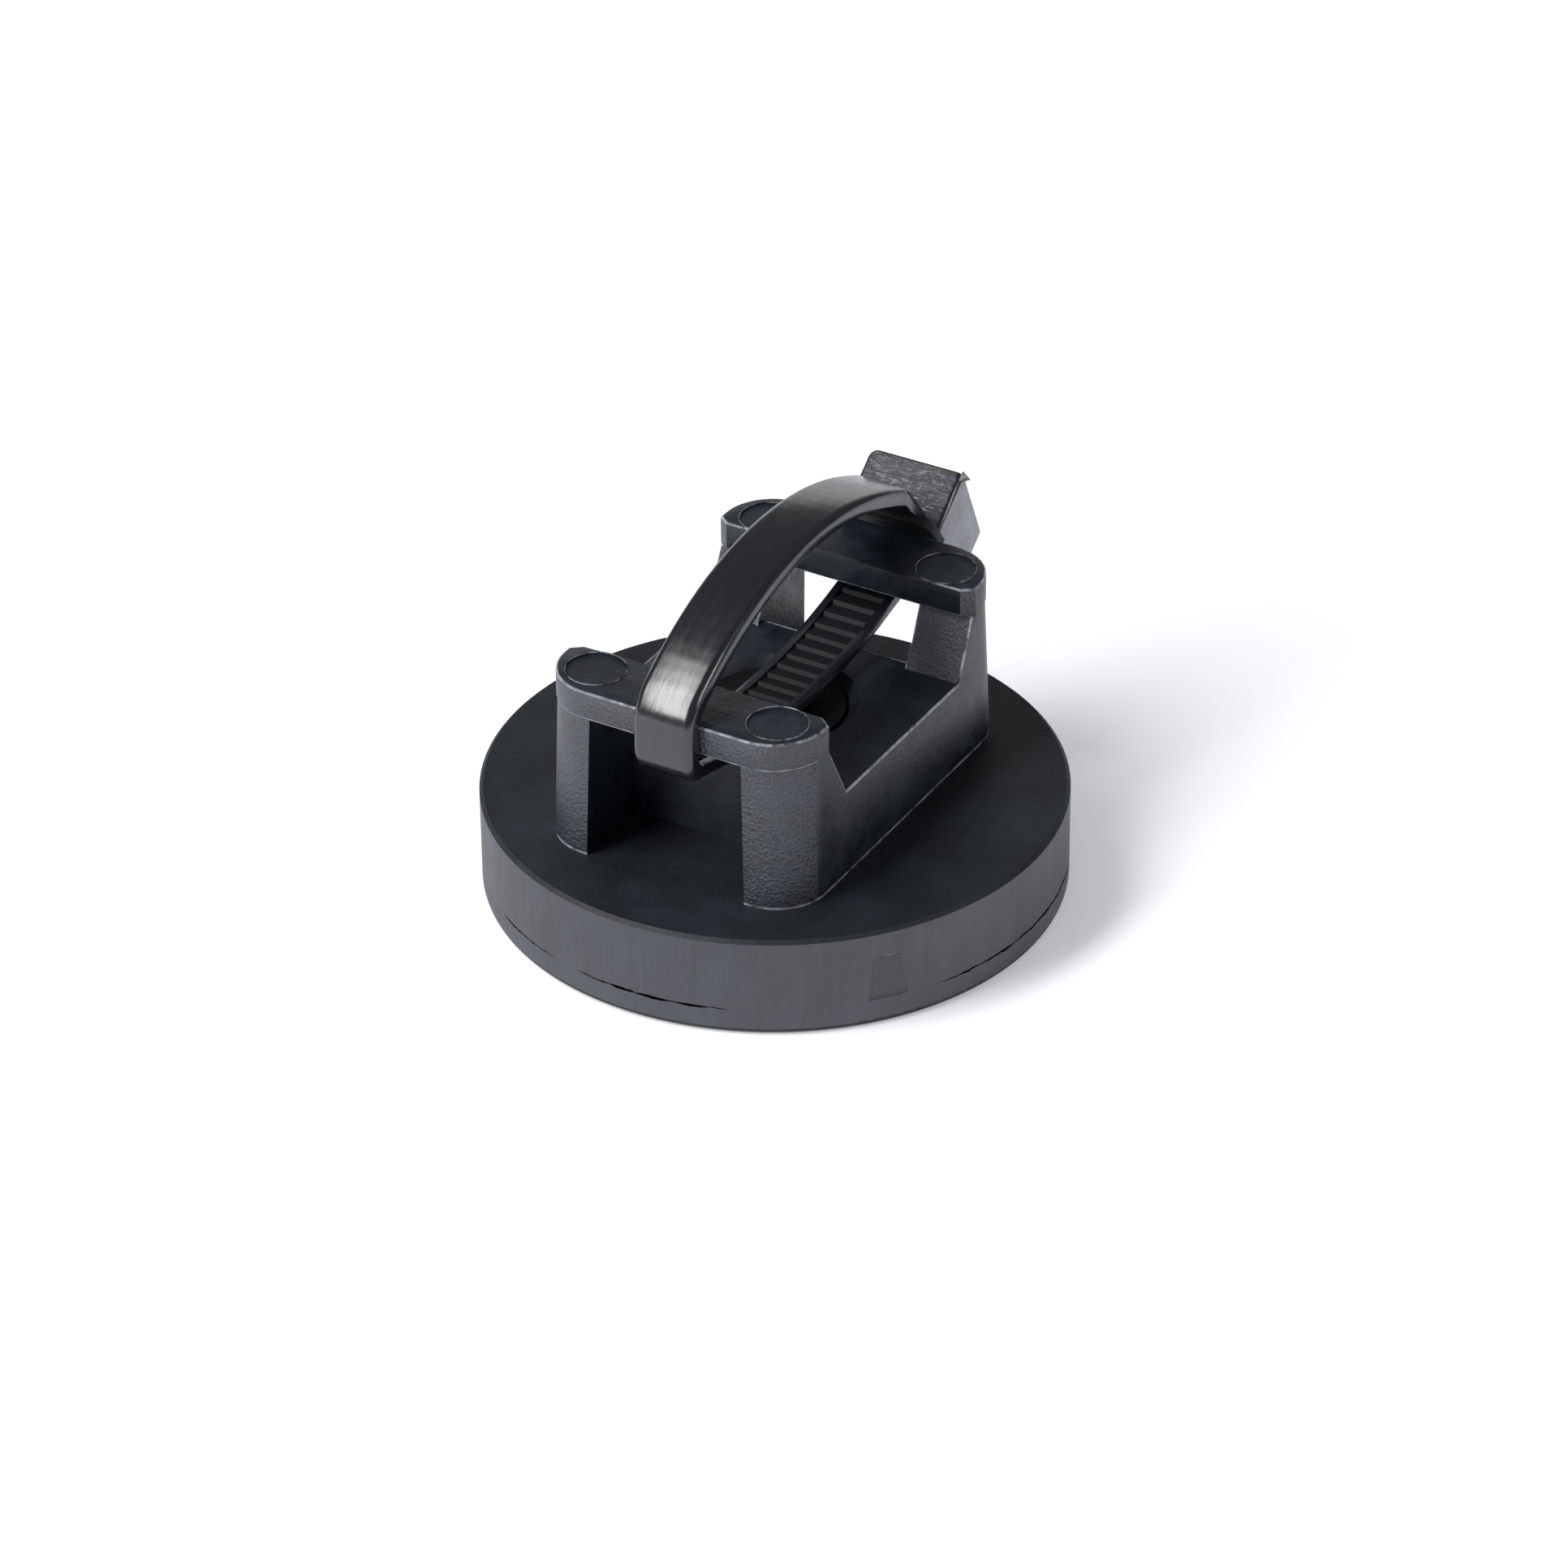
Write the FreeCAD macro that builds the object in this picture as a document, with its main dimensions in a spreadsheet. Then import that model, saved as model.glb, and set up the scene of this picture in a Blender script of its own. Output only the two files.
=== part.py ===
import FreeCAD, Part
import math
import os
from types import SimpleNamespace

import Sketcher

# Magnetic cable tie mount. A rubber coated magnet carries a moulded nylon saddle, held by one
# countersunk screw, and a nylon cable tie runs under the saddle's two bars and closes above them.
# Millimetres. X runs along the cable, -Y is the front, +Z is up.
# The origin is the centre of the magnet's gripping face.

# Driving dimensions: name, millimetres or degrees, what it measures

SIZES = [
    # Rubber coated magnet
    ("disc_diameter", 31.0, "outside of the rubber jacket"),
    ("disc_height", 5.73, "jacket from its gripping face to its top"),
    ("rim_bevel", 0.2, "bevel of the top rim"),
    ("foot_radius", 0.45, "rounding of the lower edge"),
    ("parting_height", 1.51, "mould parting line above the gripping face"),
    ("parting_groove", 0.07, "depth and half width of the parting line"),
    ("face_skin", 0.8, "rubber under the magnets"),
    ("magnet_diameter", 7.5, "one magnet disc"),
    ("magnet_thickness", 2.3, "one magnet disc"),
    ("magnet_inset", 0.75, "magnet's edge inside the backing plate's edge"),
    ("jacket_wall", 2.0, "rubber outside the backing plate"),
    ("plate_thickness", 1.5, "steel backing plate"),
    ("plate_bush_gap", 0.05, "backing plate's bore round the bush"),
    # Threaded bush and its screw
    ("thread_diameter", 4.0, "outside diameter of the thread"),
    ("thread_gap", 0.03, "screw to bush, on the radius"),
    ("bush_diameter", 6.0, "bush above its flange"),
    ("bush_flange_diameter", 8.0, "flange under the backing plate"),
    ("bush_floor", 0.5, "metal under the blind thread"),
    ("screw_length", 8.0, "countersunk screw, over all"),
    ("screw_tip_gap", 0.3, "screw tip to the end of the blind thread"),
    ("screw_head_diameter", 7.5, "top of the countersunk head"),
    ("screw_head_edge", 0.3, "straight edge above the cone"),
    ("screw_sink", 0.38, "screw head below the saddle's floor"),
    ("screw_hole_gap", 0.25, "saddle's hole round the shank, on the radius"),
    ("cross_span", 4.0, "cross recess, tip to tip"),
    ("cross_width", 0.95, "one arm of the cross recess"),
    ("cross_depth", 1.5, "cross recess"),
    # Saddle
    ("saddle_width", 15.36, "bars, along the cable"),
    ("saddle_depth", 22.04, "front face to rear face of the bars"),
    ("saddle_height", 9.74, "above the jacket"),
    ("corner_radius", 2.9, "outer corners of the bars"),
    ("mould_step", 0.06, "posts inside the bars' outline at the parting line"),
    ("mould_draft", 1.6, "slope of the walls under the bars, in degrees"),
    ("window_width", 8.92, "between two posts, under the bar"),
    ("bar_thickness", 1.62, "bar that holds the tie down"),
    ("bar_depth", 3.86, "front to back"),
    ("bar_chamfer_along", 0.62, "inner corner of a bar's end, along the cable"),
    ("bar_chamfer_across", 0.48, "inner corner of a bar's end, across the cable"),
    ("core_depth", 13.2, "middle block between the two windows"),
    ("cradle_floor", 11.8, "width of the cradle's flat floor"),
    ("cradle_floor_height", 4.85, "cradle floor above the jacket"),
    ("cradle_flank_angle", 64.0, "flank from the horizontal"),
    ("ejector_diameter", 3.2, "round mark on each post"),
    ("ejector_depth", 0.07, "round mark on each post"),
    ("ejector_inset_x", 2.33, "mark's centre from the saddle's side"),
    ("ejector_inset_y", 2.26, "mark's centre from the saddle's front or rear"),
    # Cable tie
    ("strap_width", 3.5, "across the strap"),
    ("strap_thickness", 0.9, "through the strap"),
    ("strap_edge_radius", 0.45, "outer edges of the strap"),
    ("tooth_pitch", 1.0, "teeth of the strap's inner face, at mid thickness"),
    ("tooth_depth", 0.2, "from a tooth's crest to the valley behind it"),
    ("tooth_sink", 0.05, "tooth crests below the rails beside them"),
    ("rail_width", 0.45, "smooth rail on each side of the teeth"),
    ("smooth_run", 12.0, "strap without teeth, from the head"),
    ("strap_offset", 0.42, "strap's middle from the saddle's middle, along the cable"),
    ("strap_bar_gap", 0.12, "strap to the front bar"),
    ("strap_floor_gap", 0.05, "strap to the cradle's floor"),
    ("front_rise", 0.76, "front shoulder's corner above the bars"),
    ("front_slope", 32.0, "strap behind the front shoulder, from the horizontal"),
    ("rear_slope", 25.0, "strap before the rear shoulder, from the horizontal"),
    ("crown_straight", 0.85, "straight strap between the front shoulder and the crown"),
    ("front_shoulder_radius", 2.2, "at mid thickness"),
    ("rear_shoulder_radius", 1.3, "at mid thickness"),
    ("bar_bend_radius", 1.0, "strap round the front bar, at mid thickness"),
    ("under_slope", 13.0, "strap under the bars, from the horizontal"),
    ("under_radius", 36.0, "strap under the cable, at mid thickness"),
    ("slot_bend_radius", 3.6, "strap before it enters the head, at mid thickness"),
    ("head_tilt", 38.3, "slot's axis from the horizontal"),
    ("head_skew", 14.7, "head's long faces from square"),
    ("head_standoff", 0.75, "head behind the rear bar"),
    ("head_rise", 0.1, "head's corner above the bars"),
    ("head_width", 5.6, "across the strap"),
    ("head_depth", 3.5, "along the slot"),
    ("head_length", 4.9, "root face to nose"),
    ("head_edge_radius", 0.2, "all round the head"),
    ("root_run", 2.7, "straight strap from the head to the rear shoulder's corner"),
    ("root_overlap", 0.5, "strap into the head's root wall"),
    ("lip_reach", 1.4, "lip under the strap, out from the head's root face"),
    ("lip_drop", 0.45, "lip below the strap's inner face"),
    ("lip_overlap", 0.1, "lip into the strap"),
    ("lip_tail", 1.9, "lip along the head's underside"),
    ("lip_corner_radius", 1.0, "two free corners of the lip"),
    ("slot_from_root", 2.2, "middle of the slot from the head's root face"),
    ("slot_side_gap", 0.12, "strap to the slot's sides"),
    ("slot_back_gap", 0.1, "strap to the slot's nose wall"),
    ("pawl_room", 0.85, "slot height over the strap, where the pawl swings"),
    ("pawl_thickness", 0.45, "locking pawl"),
    ("pawl_reach", 2.0, "locking pawl, along the slot"),
    ("pawl_side_gap", 0.5, "pawl to the slot's sides"),
    ("pawl_gap", 0.06, "pawl to the strap"),
    ("tail_stub", 0.3, "cut tail out of the head"),
]

MAGNET_COUNT = 6
THROUGH = 60.0


class Size:
    """A length or angle with its formula, so that a sketch or feature can be bound to it."""

    def __init__(self, value, formula):
        self.value = value
        self.formula = formula

    def __add__(self, other):
        other = size_of(other)
        return Size(self.value + other.value, f"({self.formula} + {other.formula})")

    def __sub__(self, other):
        other = size_of(other)
        return Size(self.value - other.value, f"({self.formula} - {other.formula})")

    def __mul__(self, factor):
        return Size(self.value * factor, f"({self.formula} * {factor})")

    def __truediv__(self, divisor):
        return Size(self.value / divisor, f"({self.formula} / {divisor})")

    def __neg__(self):
        return Size(-self.value, f"(0 - {self.formula})")


def size_of(number):
    return number if isinstance(number, Size) else Size(number, str(number))


doc = FreeCAD.newDocument("cable_tie_mount")
sheet = doc.addObject("Spreadsheet::Sheet", "Sizes")
for row, (name, value, note) in enumerate(SIZES, start=1):
    sheet.set(f"A{row}", name)
    sheet.set(f"B{row}", str(value))
    sheet.set(f"C{row}", note)
    sheet.setAlias(f"B{row}", name)
doc.recompute()
s = SimpleNamespace(**{name: Size(float(getattr(sheet, name)), f"Sizes.{name}") for name, _, _ in SIZES})


# Helpers for bodies, sketches and features

def new_body(label):
    body = doc.addObject("PartDesign::Body", label)
    body.Label = label
    return body


def new_sketch(body, name, role, lift=None):
    """A sketch on one of the body's own origin planes, lifted along that plane's normal."""
    sketch = body.newObject("Sketcher::SketchObject", name)
    support = next(plane for plane in body.Origin.OriginFeatures if plane.Role == role)
    sketch.AttachmentSupport = [(support, "")]
    sketch.MapMode = "FlatFace"
    if lift is not None:
        sketch.setExpression("AttachmentOffset.Base.z", lift.formula)
    return sketch


def bind(sketch, kind, geometry, point, size):
    """One coordinate of a sketch point, measured from the origin."""
    if size.value == 0:
        axis = -2 if kind == "DistanceX" else -1
        sketch.addConstraint(Sketcher.Constraint("PointOnObject", geometry, point, axis))
        return
    number = sketch.addConstraint(Sketcher.Constraint(kind, geometry, point, size.value))
    sketch.setExpression(f"Constraints[{number}]", size.formula)


def draw_outline(sketch, corners):
    """A closed outline of straight lines through corners given as (across, up) sizes."""
    corners = [(size_of(x), size_of(y)) for x, y in corners]
    points = [FreeCAD.Vector(x.value, y.value, 0) for x, y in corners]
    lines = [sketch.addGeometry(Part.LineSegment(a, b), False) for a, b in zip(points, points[1:] + points[:1])]
    for line, following in zip(lines, lines[1:] + lines[:1]):
        sketch.addConstraint(Sketcher.Constraint("Coincident", line, 2, following, 1))
    for line, (x, y) in zip(lines, corners):
        bind(sketch, "DistanceX", line, 1, x)
        bind(sketch, "DistanceY", line, 1, y)


def draw_rectangle(sketch, x_low, x_high, y_low, y_high):
    draw_outline(sketch, [(x_low, y_low), (x_high, y_low), (x_high, y_high), (x_low, y_high)])


def draw_circle(sketch, x, y, diameter):
    x, y = size_of(x), size_of(y)
    centre = FreeCAD.Vector(x.value, y.value, 0)
    circle = sketch.addGeometry(Part.Circle(centre, FreeCAD.Vector(0, 0, 1), diameter.value / 2), False)
    bind(sketch, "DistanceX", circle, 3, x)
    bind(sketch, "DistanceY", circle, 3, y)
    number = sketch.addConstraint(Sketcher.Constraint("Diameter", circle, diameter.value))
    sketch.setExpression(f"Constraints[{number}]", diameter.formula)


def volume(body):
    doc.recompute()
    return body.Shape.Volume


def pad(body, name, sketch, length, downwards=False, draft=None):
    feature = body.newObject("PartDesign::Pad", name)
    feature.Profile = sketch
    feature.Reversed = downwards
    feature.setExpression("Length", length.formula)
    if draft is not None:
        feature.setExpression("TaperAngle", draft.formula)
    doc.recompute()
    return feature


def pocket(body, name, sketch, depth=None, both_ways=False, draft=None):
    """A cut of a given depth against the sketch's normal, or right through both ways."""
    before = volume(body)
    feature = body.newObject("PartDesign::Pocket", name)
    feature.Profile = sketch
    if draft is not None:
        feature.setExpression("TaperAngle", draft.formula)
    if both_ways:
        feature.Midplane = True
        feature.Length = THROUGH
    else:
        feature.setExpression("Length", depth.formula)
    doc.recompute()
    if not feature.Shape.Volume < before:
        raise RuntimeError(f"{name} cuts nothing")
    return feature


def turn(body, name, sketch):
    feature = body.newObject("PartDesign::Revolution", name)
    feature.Profile = sketch
    feature.ReferenceAxis = (sketch, ["V_Axis"])
    feature.Angle = 360
    doc.recompute()
    return feature


def groove(body, name, sketch):
    before = volume(body)
    feature = body.newObject("PartDesign::Groove", name)
    feature.Profile = sketch
    feature.ReferenceAxis = (sketch, ["V_Axis"])
    feature.Angle = 360
    doc.recompute()
    if not feature.Shape.Volume < before:
        raise RuntimeError(f"{name} cuts nothing")
    return feature


def round_edges(body, name, base, chosen, radius):
    """Fillet those edges of the base feature that the test chooses."""
    names = [f"Edge{i}" for i, edge in enumerate(base.Shape.Edges, start=1) if chosen(edge)]
    feature = body.newObject("PartDesign::Fillet", name)
    feature.Base = (base, names)
    feature.setExpression("Radius", radius.formula)
    doc.recompute()
    return feature


def near(a, b):
    return abs(a - b) < 1e-4


def lies_at_height(edge, height):
    box = edge.BoundBox
    return near(box.ZMin, height) and near(box.ZMax, height)


def is_upright_at(edge, x, y):
    box = edge.BoundBox
    upright = near(box.XLength, 0) and near(box.YLength, 0)
    return upright and near(abs(box.XMin), abs(x)) and near(abs(box.YMin), abs(y))


# Levels and radii that neighbouring pieces share

magnet_top = s.face_skin + s.magnet_thickness
plate_top = magnet_top + s.plate_thickness
floor_level = s.disc_height + s.cradle_floor_height
saddle_top = s.disc_height + s.saddle_height
bar_underside = saddle_top - s.bar_thickness
screw_top = floor_level - s.screw_sink
screw_tip = screw_top - s.screw_length
thread_end = screw_tip - s.screw_tip_gap
bush_bottom = thread_end - s.bush_floor
thread_radius = s.thread_diameter / 2
bush_radius = s.bush_diameter / 2
bush_flange_radius = s.bush_flange_diameter / 2
screw_head_radius = s.screw_head_diameter / 2
shank_radius = thread_radius - s.thread_gap


# Rubber jacket: one moulding round the plate, the magnets and the bush, open only at the bush

jacket = new_body("rubber_jacket")
jacket_radius = s.disc_diameter / 2
plate_radius = jacket_radius - s.jacket_wall
section = new_sketch(jacket, "jacket_section", "XZ_Plane")
draw_outline(section, [
    (0, 0),
    (jacket_radius, 0),
    (jacket_radius, s.parting_height - s.parting_groove),
    (jacket_radius - s.parting_groove, s.parting_height),
    (jacket_radius, s.parting_height + s.parting_groove),
    (jacket_radius, s.disc_height - s.rim_bevel),
    (jacket_radius - s.rim_bevel, s.disc_height),
    (bush_radius, s.disc_height),
    (bush_radius, plate_top),
    (plate_radius, plate_top),
    (plate_radius, magnet_top),
    (bush_flange_radius, magnet_top),
    (bush_flange_radius, bush_bottom),
    (0, bush_bottom),
])
jacket_disc = turn(jacket, "jacket_disc", section)
jacket_foot = round_edges(jacket, "jacket_foot", jacket_disc, lambda edge: lies_at_height(edge, 0), s.foot_radius)
magnet_ring_radius = plate_radius - s.magnet_inset - s.magnet_diameter / 2
magnet_seat_sketch = new_sketch(jacket, "magnet_seat_sketch", "XY_Plane", magnet_top)
draw_circle(magnet_seat_sketch, magnet_ring_radius, 0, s.magnet_diameter)
magnet_seat = pocket(jacket, "magnet_seat", magnet_seat_sketch, s.magnet_thickness)
magnet_seats = jacket.newObject("PartDesign::PolarPattern", "magnet_seats")
magnet_seats.Originals = [magnet_seat]
magnet_seats.Axis = (magnet_seat_sketch, ["N_Axis"])
magnet_seats.Angle = 360
magnet_seats.Occurrences = MAGNET_COUNT
jacket.Tip = magnet_seats
doc.recompute()


# Steel backing plate behind the magnets

plate = new_body("backing_plate")
plate_sketch = new_sketch(plate, "plate_sketch", "XY_Plane", magnet_top)
draw_circle(plate_sketch, 0, 0, plate_radius * 2)
draw_circle(plate_sketch, 0, 0, s.bush_diameter + s.plate_bush_gap * 2)
pad(plate, "plate_blank", plate_sketch, s.plate_thickness)


# Magnets in a ring, each a disc under the plate

magnets = []
for i in range(MAGNET_COUNT):
    angle = 360 * i / MAGNET_COUNT
    magnet = doc.addObject("Part::Cylinder", f"magnet_{i + 1}")
    magnet.setExpression("Radius", (s.magnet_diameter / 2).formula)
    magnet.setExpression("Height", s.magnet_thickness.formula)
    magnet.setExpression("Placement.Base.x", f"{magnet_ring_radius.formula} * cos({angle} deg)")
    magnet.setExpression("Placement.Base.y", f"{magnet_ring_radius.formula} * sin({angle} deg)")
    magnet.setExpression("Placement.Base.z", s.face_skin.formula)
    magnets.append(magnet)


# Threaded bush: its flange pulls up under the plate, its mouth is flush with the rubber

bush = new_body("threaded_bush")
bush_section = new_sketch(bush, "bush_section", "XZ_Plane")
draw_outline(bush_section, [
    (0, bush_bottom),
    (bush_flange_radius, bush_bottom),
    (bush_flange_radius, magnet_top),
    (bush_radius, magnet_top),
    (bush_radius, s.disc_height),
    (thread_radius, s.disc_height),
    (thread_radius, thread_end),
    (0, thread_end),
])
turn(bush, "bush_turned", bush_section)


# Saddle: four posts and a middle block under two bars, one nylon moulding

saddle = new_body("saddle")
half_width = s.saddle_width / 2
half_depth = s.saddle_depth / 2
post_half_width = half_width - s.mould_step
post_half_depth = half_depth - s.mould_step
post_height = s.saddle_height - s.bar_thickness

post_sketch = new_sketch(saddle, "post_sketch", "XY_Plane", bar_underside)
draw_rectangle(post_sketch, -post_half_width, post_half_width, -post_half_depth, post_half_depth)
post_block = pad(saddle, "post_block", post_sketch, post_height, downwards=True, draft=s.mould_draft)
post_corners = round_edges(
    saddle, "post_corners", post_block,
    lambda edge: edge.BoundBox.ZLength > post_height.value / 2, s.corner_radius - s.mould_step)

# One window at the front and one at the rear let the tie in under the bars
half_window = s.window_width / 2
half_core = s.core_depth / 2
window_sketch = new_sketch(saddle, "window_sketch", "XY_Plane", bar_underside)
draw_rectangle(window_sketch, -half_window, half_window, -half_depth, -half_core)
draw_rectangle(window_sketch, -half_window, half_window, half_core, half_depth)
pocket(saddle, "windows", window_sketch, post_height, draft=s.mould_draft)

# The cable lies across the posts in a flat bottomed cradle with sloping flanks
flank_run = Size(
    post_height.value - s.cradle_floor_height.value,
    f"({post_height.formula} - {s.cradle_floor_height.formula})")
flank_spread = Size(
    flank_run.value / math.tan(math.radians(s.cradle_flank_angle.value)),
    f"({flank_run.formula} / tan({s.cradle_flank_angle.formula} * 1 deg))")
half_floor = s.cradle_floor / 2
cradle_sketch = new_sketch(saddle, "cradle_sketch", "YZ_Plane")
draw_outline(cradle_sketch, [
    (-half_floor, floor_level),
    (half_floor, floor_level),
    (half_floor + flank_spread, bar_underside),
    (-half_floor - flank_spread, bar_underside),
])
pocket(saddle, "cradle", cradle_sketch, both_ways=True)
core_top_sketch = new_sketch(saddle, "core_top_sketch", "XY_Plane", bar_underside)
draw_rectangle(core_top_sketch, -half_window, half_window, -half_core, half_core)
pocket(saddle, "core_top", core_top_sketch, flank_run)

# Each bar spans two posts; its inner corners are bevelled where the cable leaves
bar_inner = half_depth - s.bar_depth
bars_sketch = new_sketch(saddle, "bars_sketch", "XY_Plane", bar_underside)
for front in (True, False):
    side = (lambda size: -size) if front else (lambda size: size)
    draw_outline(bars_sketch, [
        (-half_width, side(half_depth)),
        (half_width, side(half_depth)),
        (half_width, side(bar_inner + s.bar_chamfer_across)),
        (half_width - s.bar_chamfer_along, side(bar_inner)),
        (s.bar_chamfer_along - half_width, side(bar_inner)),
        (-half_width, side(bar_inner + s.bar_chamfer_across)),
    ])
bars = pad(saddle, "bars", bars_sketch, s.bar_thickness)
bar_corners = round_edges(
    saddle, "bar_corners", bars,
    lambda edge: is_upright_at(edge, half_width.value, half_depth.value), s.corner_radius)

# Countersunk hole in the middle of the cradle's floor
hole_radius = thread_radius + s.screw_hole_gap
cone_drop = screw_head_radius - hole_radius
seat_edge = screw_top - s.screw_head_edge
hole_section = new_sketch(saddle, "hole_section", "XZ_Plane")
draw_outline(hole_section, [
    (0, s.disc_height),
    (hole_radius, s.disc_height),
    (hole_radius, seat_edge - cone_drop),
    (screw_head_radius, seat_edge),
    (screw_head_radius + s.screw_head_edge + s.screw_sink, floor_level),
    (0, floor_level),
])
groove(saddle, "screw_hole", hole_section)

# Round marks of the mould's ejector pins, one on each post
mark_x = half_width - s.ejector_inset_x
mark_y = half_depth - s.ejector_inset_y
mark_sketch = new_sketch(saddle, "mark_sketch", "XY_Plane", saddle_top)
for x in (-mark_x, mark_x):
    for y in (-mark_y, mark_y):
        draw_circle(mark_sketch, x, y, s.ejector_diameter)
ejector_marks = pocket(saddle, "ejector_marks", mark_sketch, s.ejector_depth)
saddle.Tip = ejector_marks


# Countersunk screw with a cross recess

screw = new_body("saddle_screw")
screw_section = new_sketch(screw, "screw_section", "XZ_Plane")
draw_outline(screw_section, [
    (0, screw_tip),
    (shank_radius, screw_tip),
    (shank_radius, seat_edge - (screw_head_radius - shank_radius)),
    (screw_head_radius, seat_edge),
    (screw_head_radius, screw_top),
    (0, screw_top),
])
turn(screw, "screw_turned", screw_section)
half_span = s.cross_span / 2
half_arm = s.cross_width / 2
cross_sketch = new_sketch(screw, "cross_sketch", "XY_Plane", screw_top)
draw_outline(cross_sketch, [
    (half_span, -half_arm), (half_span, half_arm), (half_arm, half_arm), (half_arm, half_span),
    (-half_arm, half_span), (-half_arm, half_arm), (-half_span, half_arm), (-half_span, -half_arm),
    (-half_arm, -half_arm), (-half_arm, -half_span), (half_arm, -half_span), (half_arm, -half_arm),
])
pocket(screw, "cross_recess", cross_sketch, s.cross_depth)


# Cable tie: strap, head and pawl in one moulding. Its shape is worked out in the Y-Z plane.

def yz(y, z):
    return FreeCAD.Vector(0, y, z)


def heading(degrees):
    """Unit vector in the Y-Z plane, from +Y towards +Z."""
    angle = math.radians(degrees)
    return yz(math.cos(angle), math.sin(angle))


def left_of(direction):
    return yz(-direction.z, direction.y)


def crossing(point_a, direction_a, point_b, direction_b):
    """Where two lines in the Y-Z plane meet."""
    gap = point_b - point_a
    span = direction_a.y * direction_b.z - direction_a.z * direction_b.y
    along = (gap.y * direction_b.z - gap.z * direction_b.y) / span
    return point_a + direction_a * along


def rounded_path(corners, radii):
    """A wire of straight runs joined by tangent arcs, one arc at each inner corner."""
    edges = []
    start = corners[0]
    for before, corner, after, radius in zip(corners, corners[1:], corners[2:], radii):
        arrive = (corner - before).normalize()
        leave = (after - corner).normalize()
        half_turn = arrive.getAngle(leave) / 2
        trim = radius * math.tan(half_turn)
        arc_start = corner - arrive * trim
        arc_end = corner + leave * trim
        to_centre = (leave - arrive).normalize()
        centre = corner + to_centre * (radius / math.cos(half_turn))
        arc_middle = centre - to_centre * radius
        edges.append(Part.LineSegment(start, arc_start).toShape())
        edges.append(Part.Arc(arc_start, arc_middle, arc_end).toShape())
        start = arc_end
    edges.append(Part.LineSegment(start, corners[-1]).toShape())
    return Part.Wire(edges)


def prism(corners, width, middle_x):
    """A flat outline in the Y-Z plane, given its width along X."""
    face = Part.Face(Part.makePolygon(corners + corners[:1]))
    solid = face.extrude(FreeCAD.Vector(width, 0, 0))
    solid.translate(FreeCAD.Vector(middle_x - width / 2, 0, 0))
    return solid


def strap_section(start, direction):
    """The strap's section square to its path, with the two outer edges rounded."""
    half_strap = s.strap_width.value / 2
    half_thick = s.strap_thickness.value / 2
    radius = s.strap_edge_radius.value
    outward = -left_of(direction)
    across = FreeCAD.Vector(1, 0, 0)
    slant = radius * math.sqrt(0.5)

    def at(x, out):
        return start + across * (s.strap_offset.value + x) + outward * out

    inner_left, inner_right = at(-half_strap, -half_thick), at(half_strap, -half_thick)
    side_right, side_left = at(half_strap, half_thick - radius), at(-half_strap, half_thick - radius)
    top_right, top_left = at(half_strap - radius, half_thick), at(radius - half_strap, half_thick)
    bend_right = at(half_strap - radius + slant, half_thick - radius + slant)
    bend_left = at(radius - half_strap - slant, half_thick - radius + slant)
    return Part.Wire([
        Part.LineSegment(inner_left, inner_right).toShape(),
        Part.LineSegment(inner_right, side_right).toShape(),
        Part.Arc(side_right, bend_right, top_right).toShape(),
        Part.LineSegment(top_right, top_left).toShape(),
        Part.Arc(top_left, bend_left, side_left).toShape(),
        Part.LineSegment(side_left, inner_left).toShape(),
    ])


def station(path, distance):
    """The place and direction at a distance along a wire."""
    for edge in path.Edges:
        if distance <= edge.Length:
            parameter = edge.getParameterByLength(distance)
            return edge.valueAt(parameter), edge.tangentAt(parameter)
        distance -= edge.Length
    raise RuntimeError("a tooth lies beyond the strap's end")


def tooth_track(path):
    """Outline of the channel in the strap's inner face, with the teeth standing in its floor."""
    pitch = s.tooth_pitch.value
    crest = s.strap_thickness.value / 2 - s.tooth_sink.value
    valley = crest - s.tooth_depth.value
    above = s.strap_thickness.value / 2 + s.tooth_depth.value
    count = int((path.Length - s.smooth_run.value) / pitch)
    floor = []
    lid = []
    for number in range(count + 1):
        place, direction = station(path, s.smooth_run.value + number * pitch)
        inward = left_of(direction)
        if number > 0:
            floor.append(place + inward * valley)
        if number < count:
            floor.append(place + inward * crest)
        lid.append(place + inward * above)
    return floor + lid[::-1]


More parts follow.
